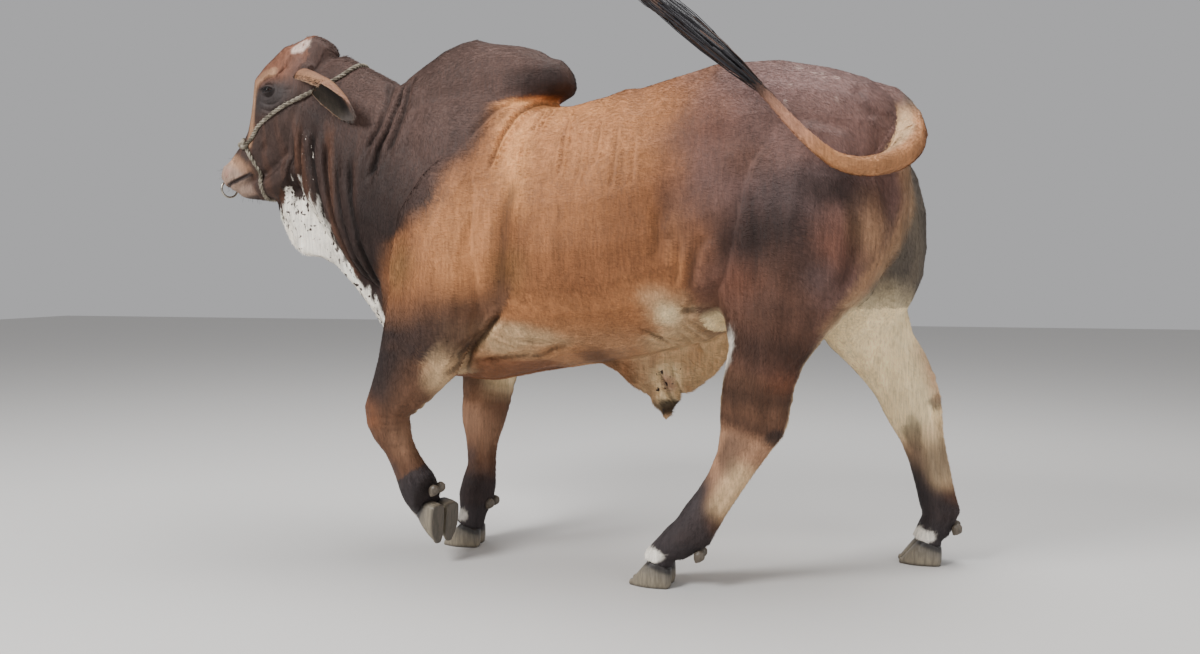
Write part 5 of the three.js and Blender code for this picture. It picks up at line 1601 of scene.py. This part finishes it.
def lock_piece(name, slot, finish, locks, roots, region, marking, tone, fade=(1, 0)):
    """Puts locks into the scene as one piece, with a marking and a tone for each, and its map."""
    points, triangles, along, per = locks
    mesh = array_mesh(name, points, triangles)
    set_colour(mesh, "marking", np.repeat(np.ones((len(roots), 1)) * marking, per, axis=0))
    set_colour(mesh, "strand", np.column_stack([np.repeat(tone, per) * (fade[0] + fade[1] * along)] * 3))
    patch_map(mesh, triangles, unwrap(roots, region), lock_patch((per - 1) // 4 + 1))
    return mesh_piece(mesh, name, slot, hair_finish(finish))


# The share of the tail's line above the switch, and the share that its locks grow from.
DOCK_BARE, DOCK_HAIRY = 0.74, 0.25


def make_switch():
    draw = np.random.default_rng(11)
    count = bpy.context.scene.bull_sizes.locks
    dock = smooth_line(TAIL, 200)
    share = DOCK_BARE + DOCK_HAIRY * draw.random(count) ** 0.7
    centre = np.array([at_share(dock, s) for s in share])
    tangents = np.gradient(dock[:, :3], axis=0)
    ahead = unit(np.array([at_share(tangents, s) for s in share]))
    angle = draw.random(count) * 2 * math.pi
    side = unit(np.cross(ahead, (0, 1, 0)))
    up = np.cross(ahead, side)
    outward = side * np.cos(angle)[:, None] + up * np.sin(angle)[:, None]
    roots = centre[:, :3] + outward * (centre[:, 3:4] * 0.85)
    late = (share - DOCK_BARE) / DOCK_HAIRY
    last = unit(dock[-1, :3] - dock[-2, :3])
    tips = np.array(SWITCH_TIP, float) - last * (draw.random(count) ** 1.3 * 120 * (1.1 - 0.3 * late))[:, None]
    tips = tips + outward * (3 + 11 * draw.random(count))[:, None] + draw.normal(size=(count, 3)) * 3
    bends = outward * (8 + 13 * draw.random(count) * (0.5 + 0.5 * late))[:, None]
    wide = 5 + 6 * draw.random(count)
    locks = locks_mesh(roots, tips, bends, wide, wide * 0.3)
    tone = 0.7 + 0.6 * draw.random(count)
    warm = (draw.random(count) < 0.18)[:, None] * 0.8
    marking = over(shade("hair"), "hair_warm", warm)
    hair = lock_piece("switch_hair", "switch_hair", "switch_finish", locks, roots, "tail", marking, tone, (0.8, 0.45))
    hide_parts("tail_switch")


# The tassel of the sheath: its middle, the reach of its roots, its length and its number of locks.
TASSEL_AT, TASSEL_REACH, TASSEL_LENGTH, TASSEL_LOCKS = (326, 0, 497), 19, 74, 90
# The number of lashes of each eye, and of bristles on the muzzle and chin.
LASHES, BRISTLES = 46, 90


def make_sheath_hair():
    draw = np.random.default_rng(5)
    count = TASSEL_LOCKS
    angle = draw.random(count) * 2 * math.pi
    reach = TASSEL_REACH * np.sqrt(draw.random(count))
    outward = np.column_stack([np.cos(angle), np.sin(angle), np.zeros(count)])
    roots = np.array(TASSEL_AT) + outward * reach[:, None]
    drop = TASSEL_LENGTH * (0.45 + 0.5 * draw.random(count)) * (1.05 - 0.4 * reach / TASSEL_REACH)
    tips = roots + np.column_stack([-6 + 8 * draw.normal(size=count) * 0.5, draw.normal(size=count) * 3, -drop])
    tips = tips - outward * (0.45 * reach)[:, None]
    bends = outward * (2 + 4 * draw.random(count))[:, None]
    wide = 3 + 3 * draw.random(count)
    locks = locks_mesh(roots, tips, bends, wide, wide * 0.35, 6)
    lock_piece("sheath_hair", "dark_hide", "sheath_hair_finish", locks, roots, "trunk", shade("sheath_hair"),
               0.6 + 0.8 * draw.random(count))


# The short coat

CREST_LINE = [(-800, 1606), (-740, 1560), (-660, 1510), (-560, 1480)]
UNDER_LINE = [(-985, 1100), (-930, 1030), (-900, 950), (-840, 890), (-720, 800), (-560, 660)]
# The pieces of the coat: name, slot, region, side and number of tufts.
COATS = (
    ("coat_head", "dark_hide", "head", 0, 46000), ("coat_neck_left", "dark_hide", "neck", -1, 38000),
    ("coat_neck_right", "dark_hide", "neck", 1, 38000), ("coat_trunk_left", "tan_hide", "trunk", -1, 40000),
    ("coat_trunk_right", "tan_hide", "trunk", 1, 40000), ("coat_rump_left", "rump_hide", "rump", -1, 38000),
    ("coat_rump_right", "rump_hide", "rump", 1, 38000), ("coat_legs", "leg_hide", "legs", 0, 46000),
    ("coat_tail", "tan_hide", "tail", 0, 9000),
)
LONG_TUFTS, EAR_TUFTS = 15000, 7000
# Half the width of one tuft's or lock's patch in the OFBake map.
PATCH = 0.0015


def leg_lines():
    return {name: np.array(LEGS[name], float)[:, :3] for name in LEGS}


def lie(p, n):
    """The way the hair lies at each point, along the skin."""
    way = np.tile((1.0, 0.0, -0.45), (len(p), 1))
    x, _, z = p.T

    def turn_to(mask, aim):
        nonlocal way
        share = np.clip(mask, 0, 1)[:, None]
        way = way * (1 - share) + np.asarray(aim, float) * share

    turn_to(ease(-200, -480, x), (0.55, 0, -1))
    turn_to(ease(1360, 1440, z) * ease(100, -40, x), (0.9, 0, 0.15))
    turn_to(ease(600, 950, x), (0.3, 0, -1))
    turn_to(ease(0, -0.8, n[:, 2]) * (x > -300), (1, 0, 0.05))
    flat = ease(0.35, 0.8, np.abs(n[:, 1]))
    head = on_head(p).astype(float)
    turn_to(head, (-0.6, 0, -0.8))
    turn_to(head * flat * ease(-1000, -930, x), (0.55, 0, -0.85))
    turn_to(head * ease(1545, 1590, z), (0.9, 0, 0.3))
    for name, line in leg_lines().items():
        share, _, _, on = leg_space(p, name)
        k = np.minimum(share.astype(int), len(line) - 2)
        ahead = line[k + 1] - line[k]
        turn_to(on * ease(0.0, 0.8, share), unit(ahead))
    line = smooth_line(TAIL, 90)[:, :3]
    share, _, distance = curve_space(p, line)
    k = np.minimum(share.astype(int), 88)
    ahead = line[k + 1] - line[k]
    turn_to((distance < 60) * ease(12, 20, share), unit(ahead))
    way = way - n * np.einsum("ij,ij->i", way, n)[:, None]
    return unit(way)


def unwrap(p, region):
    """Each point's place on an unrolled skin: along a line through the body, and round it."""
    if region == "legs":
        u, v = np.zeros(len(p)), np.zeros(len(p))
        best = np.full(len(p), 1e9)
        for k, line in enumerate(leg_lines().values()):
            share, offset, distance = curve_space(p, line)
            closer = distance < best
            best = np.where(closer, distance, best)
            angle = np.arctan2(offset[:, 0], offset[:, 1]) / (2 * math.pi) + 0.5
            reach = np.clip((p[:, 2] - 30) / 660, 0, 1)
            u = np.where(closer, (k + 0.04 + 0.92 * angle) / 4, u)
            v = np.where(closer, reach, v)
        return np.column_stack([u, v])
    line = smooth_line(TAIL if region == "tail" else SPINE, 120)[:, :3]
    share, offset, _ = curve_space(p, line)
    ahead = unit(np.gradient(line, axis=0)[np.minimum(share.astype(int), 119)])
    across = unit(np.cross(ahead, (0.0, 1.0, 0.0)))
    angle = np.arctan2(offset[:, 1], np.einsum("ij,ij->i", offset, across)) / (2 * math.pi) + 0.5
    low, high = np.percentile(share, (0.5, 99.5))
    return np.column_stack([np.clip((share - low) / (high - low), 0, 1), angle])


def bare(p):
    """Where no tufts grow: the lids, the muzzle with its nostrils, the line of the mouth, and next to the floor."""
    eye = np.linalg.norm((mirrored(p) - EYE_AT) / (30, 60, 25), axis=1) < 1
    pad = blob(p, -1100, 1185, 70, 48, -25, 0.1, 0.1) > 0.5
    mouth = line_distance(side_view(p), MOUTH_LINE)[0] < 7
    return eye | (pad & (np.abs(p[:, 1]) < 75)) | (mouth & (p[:, 0] < -1004)) | (p[:, 2] < 34)


class Skin:
    """A surface that tufts grow on, with how they are painted, how they lie and how it is unrolled."""

    def __init__(self, mesh, paint, comb, flat):
        self.points, self.normals = drawn(read(mesh.vertices, "co", 3)), read(mesh.vertex_normals, "vector", 3)
        mesh.calc_loop_triangles()
        self.triangles = read(mesh.loop_triangles, "vertices", 3, int)
        self.paint, self.comb, self.flat = paint, comb, flat


class Growth:
    """The length, width and lift of tufts at each point of a skin."""

    def __init__(self, length, wide, lift, spread=0.28):
        self.length, self.wide, self.lift, self.spread = length, wide, lift, spread


def patch_map(mesh, triangles, flat, offsets):
    """The OFBake map: each tuft is a small patch at its root's place on the unrolled skin."""
    uv = np.clip(flat, 0.002, 0.998)[:, None] + offsets
    layer = mesh.uv_layers.new(name="OFBake")
    layer.data.foreach_set("uv", uv.reshape(-1, 2)[triangles.ravel()].astype(np.float32).ravel())


def lock_patch(rows):
    """The patch of one lock of locks_mesh: round it in u, and along it in v."""
    turns = np.tile(PATCH * np.sin(np.arange(4) * math.pi / 2 + 0.7), rows - 1)
    along = np.repeat(np.linspace(-PATCH, 0.8 * PATCH, rows - 1), 4)
    return np.vstack([np.column_stack([turns, along]), (0, PATCH)])


def tuft_mesh(name, slot, skin, count, weight, growth, seed):
    """Short tufts that lie along the skin, each a thin closed wedge, in one piece."""
    sizes = bpy.context.scene.bull_sizes
    draw = np.random.default_rng(seed)
    count = int(count * sizes.tufts)
    corners = skin.points[skin.triangles]
    area = np.linalg.norm(np.cross(corners[:, 1] - corners[:, 0], corners[:, 2] - corners[:, 0]), axis=1) / 2
    centres = corners.mean(axis=1)
    chance = area * weight(centres)
    if skin is Hide.skin:
        chance = chance * ~bare(centres)
    pick = draw.choice(len(corners), count, p=chance / chance.sum())
    a, b = np.sqrt(draw.random(count)), draw.random(count)
    shares = np.column_stack([1 - a, a * (1 - b), a * b])[:, :, None]
    chosen = skin.triangles[pick]

    def at(values):
        return (values[chosen] * shares).sum(axis=1)

    root, n = at(skin.points), unit(at(skin.normals))
    colour, fleck = skin.paint(root, n, at)
    way = skin.comb(root, n, at)
    way = unit(way - n * np.einsum("ij,ij->i", way, n)[:, None])
    side = np.cross(n, way)
    swing = growth.spread * draw.normal(size=count) + 0.35 * grain(root, 60, 61)
    way = way * np.cos(swing)[:, None] + side * np.sin(swing)[:, None]
    side = np.cross(n, way)
    scale = (0.8 + 0.4 * draw.random(count)) * sizes.tuft_length
    long = (growth.length(root, at) * scale)[:, None]
    broad = (growth.wide(root, at) * scale)[:, None]
    high = (growth.lift(root, at) * (0.7 + 0.6 * draw.random(count)))[:, None]
    start = root - way * long * 0.3 - n * 0.5
    middle = root + way * long * 0.1 + n * high * 0.15
    tip = root + way * long * 0.7 + n * high
    points = np.stack([start, middle - side * broad / 2, tip, middle + side * broad / 2], axis=1)
    faces = np.array([(0, 2, 1), (0, 3, 2), (0, 1, 3), (1, 2, 3)])
    triangles = (faces[None] + 4 * np.arange(count)[:, None, None]).reshape(-1, 3)
    mesh = array_mesh(name, points.reshape(-1, 3), triangles)
    mesh.polygons.foreach_set("use_smooth", np.zeros(len(triangles), bool))
    set_colour(mesh, "marking", np.repeat(colour, 4, axis=0))
    set_colour(mesh, "fleck", np.repeat(fleck, 4, axis=0))
    tone = (0.9 + 0.2 * draw.random(count))[:, None] * np.array([0.86, 0.98, 1.1, 0.98])
    set_colour(mesh, "strand", np.repeat(tone.reshape(-1, 1), 3, axis=1))
    patch_map(mesh, triangles, skin.flat(root, at), np.array([(-1, 0), (0, -1), (1, 0), (0, 1)]) * PATCH)
    return mesh_piece(mesh, name, slot, coat_finish(name + "_finish", 1))


def part_of(p):
    """The region of the coat that each point belongs to."""
    region = np.where(p[:, 0] < 330, "trunk", "rump").astype(object)
    region[(p[:, 0] < -440) | ((p[:, 2] > 1386) & (p[:, 0] < 60))] = "neck"
    region[on_head(p)] = "head"
    region[(p[:, 2] < 640) & ~((p[:, 2] > 450) & (np.abs(p[:, 1]) < 90))] = "legs"
    share, _, distance, reach = tail_space(p)
    region[(distance < reach + 7) & (share > 14) & ((p[:, 1] < -60) | (p[:, 0] > 960))] = "tail"
    return region


def fringe(p):
    """Where the hair is longer: crest, poll, throat, dewlap, belly line, backs of the legs and fetlocks."""
    x, y, z = p.T
    mid = ease(44, 16, np.abs(y))
    crest, under = (line_distance(side_view(p), line)[0] for line in (CREST_LINE, UNDER_LINE))
    much = mid * (0.8 * ease(34, 10, crest) + 1.2 * ease(36, 10, under))
    much += 0.5 * blob(p, -810, 1590, 60, 40, 0, 0.6) * mid
    much += mid * ease(650, 610, z) * ease(-320, -240, x) * ease(600, 400, x) * (z > 450)
    for name in LEGS:
        share, fore, _, on = leg_space(p, name)
        much += on * ease(-0.5, -0.9, fore) * ease(2.5, 4.0, share) * 0.8
        much += on * near(p, LEG_ENDS[name], 70) * ease(0.3, -0.5, fore) * 1.4
    return np.clip(much, 0, 1.5)


def make_coat():
    def length(p, at):
        size = np.full(len(p), 17.0)
        size = np.where(p[:, 0] < -440, 13.0, size)
        size = np.where(on_head(p), 7.0, size)
        return np.where(p[:, 2] < 560, 9.0, size)

    def all_over(region, side=0):
        def weight(p):
            mine = (part_of(p) == region) & (side * p[:, 1] >= 0)
            return mine * np.where(on_head(p), np.where(p[:, 0] < -880, 1.5, 1.0), 1.0)
        return weight

    growth = Growth(length, lambda p, at: 1.0 + 0.09 * length(p, at), lambda p, at: 0.35 + 0.075 * length(p, at))
    for seed, (name, slot, region, side, count) in enumerate(COATS, 101):
        Hide.skin.flat = lambda q, at, kind=region: unwrap(q, kind)
        tuft_mesh(name, slot, Hide.skin, count, all_over(region, side), growth, seed)
    long = Growth(lambda p, at: np.where(p[:, 2] < 420, 15.0, np.where(on_head(p), 12.0, 24.0)),
                  lambda p, at: np.full(len(p), 1.7), lambda p, at: np.where(p[:, 2] < 420, 3.0, 4.2), 0.34)
    Hide.skin.flat = lambda q, at: unwrap(q, "trunk")
    tuft_mesh("coat_long", "dark_hide", Hide.skin, LONG_TUFTS, fringe, long, seed + 1)


def make_lashes():
    draw = np.random.default_rng(17)
    roots, tips, bends = [], [], []
    for side in (-1, 1):
        outward, front, upward = eye_directions(side)
        centre = eye_centre(side)
        for k in range(LASHES):
            a = 17 - 34 * (k + draw.random()) / LASHES
            c = a / OPENING["reach"]
            b = lid_edge(c, math.sqrt(1 - c * c)) + 2.2
            h = math.sqrt((mm("eye") + 0.6) ** 2 - a * a - b * b) + 1.5
            aim = outward + upward * draw.uniform(-0.5, -0.2) + front * 0.35 * c
            roots.append(centre + front * a + upward * b + outward * h)
            tips.append(roots[-1] + unit(aim) * draw.uniform(14, 22))
            bends.append(upward * -3)
    p, n = Hide.skin.points, Hide.skin.normals
    muzzle = near(p, (-1075, 0, 1150), 100) & ((np.abs(n[:, 1]) > 0.35) | (n[:, 2] < -0.4)) & (p[:, 0] < -1010)
    for k in draw.choice(np.flatnonzero(muzzle), BRISTLES):
        aim = n[k] + (0.15, 0, -0.5)
        roots.append(p[k])
        tips.append(p[k] + unit(aim) * draw.uniform(12, 26))
        bends.append(np.array((0.5, 0, -2.5)))
    count = len(roots)
    wide = np.full(count, 0.9)
    roots, tips, bends = np.array(roots), np.array(tips), np.array(bends)
    locks = locks_mesh(roots, tips, bends, wide, wide * 0.6, 5)
    lock_piece("lashes_and_bristles", "dark_hide", "lash_finish", locks, roots, "trunk", shade("lash"),
               0.8 + 0.4 * draw.random(count))


# The panel's sizes and colours


def coloured(name, label, description):
    return FloatVectorProperty(name=label, description=description, subtype="COLOR", min=0, max=1,
                               default=tuple(float(c) for c in linear(PAINT[name])))


class BullSizes(bpy.types.PropertyGroup):
    voxel: FloatProperty(name="Skin grid", description="Step of the grid that joins the flesh", default=0.0075,
                         min=0.004, unit="LENGTH")
    coat: FloatProperty(name="Coat depth", description="How far the skin lies inside the solids", default=0.0045,
                        min=0.001, unit="LENGTH")
    hide_triangles: IntProperty(name="Hide triangles", description="Most triangles of the hide", default=188000)
    tufts: FloatProperty(name="Tufts", description="Share of the full number of tufts", default=1.0, min=0.05, max=1.0)
    tuft_length: FloatProperty(name="Tuft length", description="Length of the tufts against the bull's own",
                               default=1.0, min=0.2, max=1.5)
    locks: IntProperty(name="Switch locks", description="Number of locks in the switch", default=420, min=20)
    eye: FloatProperty(name="Eye radius", description="Radius of each eyeball", default=0.021, unit="LENGTH")
    ear: FloatProperty(name="Ear thickness", description="Thickness of the ears", default=0.007, unit="LENGTH")
    rope: FloatProperty(name="Rope radius", description="Radius of the halter rope", default=0.0075, unit="LENGTH")


# The panel's colours: label and description.
PANEL_COLOURS = {
    "tan": ("Side", "Tan of the side"),
    "light_tan": ("Ribs", "Lighter tan over the ribs"),
    "bright": ("Yoke", "Brightest tan, behind the shoulder"),
    "neck": ("Neck", "Dark of the neck and shoulder"),
    "hump": ("Hump", "Grey brown of the hump"),
    "face_red": ("Forehead", "Reddish brown of the forehead"),
    "muzzle": ("Muzzle", "Pale skin of the muzzle"),
    "white": ("Throat", "White of the throat and the dewlap"),
    "cream": ("Belly", "Cream of the belly and the flank"),
    "rump": ("Rump", "Brown of the rump"),
    "thigh": ("Thigh", "Brown of the thigh"),
    "leg_dark": ("Legs", "Dark of the upper legs"),
    "horn": ("Hooves", "Horn of the hooves"),
    "iris": ("Iris", "Iris of the eyes"),
    "hair": ("Switch", "Hair of the switch"),
    "rope": ("Rope", "Rope of the halter"),
}


class BullColours(bpy.types.PropertyGroup):
    __annotations__ = {name: coloured(name, *words) for name, words in PANEL_COLOURS.items()}


def make_stage():
    scene = bpy.context.scene
    floor = bmesh.new()
    bmesh.ops.create_grid(floor, x_segments=2, y_segments=2, size=14)
    obj = bpy.data.objects.new("floor", as_mesh(floor, "floor"))
    scene.collection.objects.link(obj)
    m = Nodes("floor_finish")
    m.set(Base_Color=shade("floor"), Roughness=0.9)
    obj.data.materials.append(m.material)
    world = bpy.data.worlds.new("studio")
    scene.world = world
    world.use_nodes = True
    sky = world.node_tree.nodes["Background"]
    sky.inputs[0].default_value = SKY
    sky.inputs[1].default_value = SKY_STRENGTH
    for name, (at, aim, size, power) in LAMPS.items():
        light = bpy.data.lights.new(name, "AREA")
        light.size, light.energy = size, power
        lamp = bpy.data.objects.new(name, light)
        scene.collection.objects.link(lamp)
        lamp.location = at
        lamp.rotation_euler = (Vector(aim) - Vector(at)).to_track_quat("-Z", "Y").to_euler()
    lens = bpy.data.cameras.new("camera")
    lens.lens, lens.sensor_width = LENS, SENSOR
    camera = bpy.data.objects.new("camera", lens)
    scene.collection.objects.link(camera)
    camera.location = CAMERA_AT
    level = math.cos(CAMERA_TILT)
    ahead = Vector((-math.sin(CAMERA_TURN) * level, math.cos(CAMERA_TURN) * level, -math.sin(CAMERA_TILT)))
    camera.rotation_euler = ahead.to_track_quat("-Z", "Y").to_euler()
    scene.camera = camera


# The operators and their panel


def operator(name, label, about, *steps, on_hide=False):
    """An operator that builds some pieces of the bull, which may stand on its hide."""

    def execute(self, context):
        if on_hide and Hide.skin is None:
            raise RuntimeError("the hide is built before this piece")
        for step in steps:
            step()
        return {"FINISHED"}

    return type("BULL_OT_" + name, (bpy.types.Operator,), {
        "bl_idname": "bull." + name, "bl_label": label, "bl_description": about, "execute": execute})


def make_ears():
    for side, word in SIDES:
        make_ear(side, word)


def make_eyes():
    for side, word in SIDES:
        make_eye(side, word)


def make_hooves():
    for name in FEET:
        make_hoof(name)


OPERATORS = (
    operator("stage", "Stage", "Sets up the floor, the studio light and the camera of the photo", make_stage),
    operator("hide", "Hide", "Joins the flesh into one skin, with its folds, lids and markings", make_hide),
    operator("ears", "Ears", "Builds both ears and their hair", make_ears),
    operator("eyes", "Eyes", "Builds both eyeballs", make_eyes),
    operator("hooves", "Hooves", "Builds the claws and dewclaws of the four feet", make_hooves),
    operator("halter", "Halter", "Lays the rope of the halter and its knots on the hide", make_halter, on_hide=True),
    operator("ring", "Nose ring", "Builds the nose ring", make_ring),
    operator("long_hair", "Long hair", "Builds the switch, the sheath's hair, the lashes and the bristles",
             make_switch, make_sheath_hair, make_lashes, on_hide=True),
    operator("coat", "Coat", "Lays the tufts of the short coat on the hide", make_coat, on_hide=True),
)


class BULL_PT_panel(bpy.types.Panel):
    """Lists the sizes, the colours and the pieces of the bull"""
    bl_idname = "BULL_PT_panel"
    bl_label = "Brahman bull"
    bl_space_type = "VIEW_3D"
    bl_region_type = "UI"
    bl_category = "Bull"

    def draw(self, context):
        layout = self.layout
        for group in (context.scene.bull_sizes, context.scene.bull_colours):
            column = layout.column(align=True)
            for name in group.__annotations__:
                column.prop(group, name)
        for operator in OPERATORS:
            layout.operator(operator.bl_idname)


CLASSES = (BullSizes, BullColours) + OPERATORS + (BULL_PT_panel,)


def register():
    for kind in CLASSES:
        bpy.utils.register_class(kind)
    bpy.types.Scene.bull_sizes = PointerProperty(type=BullSizes)
    bpy.types.Scene.bull_colours = PointerProperty(type=BullColours)


def unregister():
    del bpy.types.Scene.bull_colours
    del bpy.types.Scene.bull_sizes
    for kind in reversed(CLASSES):
        bpy.utils.unregister_class(kind)


def main():
    register()
    for kind in OPERATORS:
        getattr(bpy.ops.bull, kind.bl_idname.split(".")[1])()


if __name__ == "__main__":
    main()
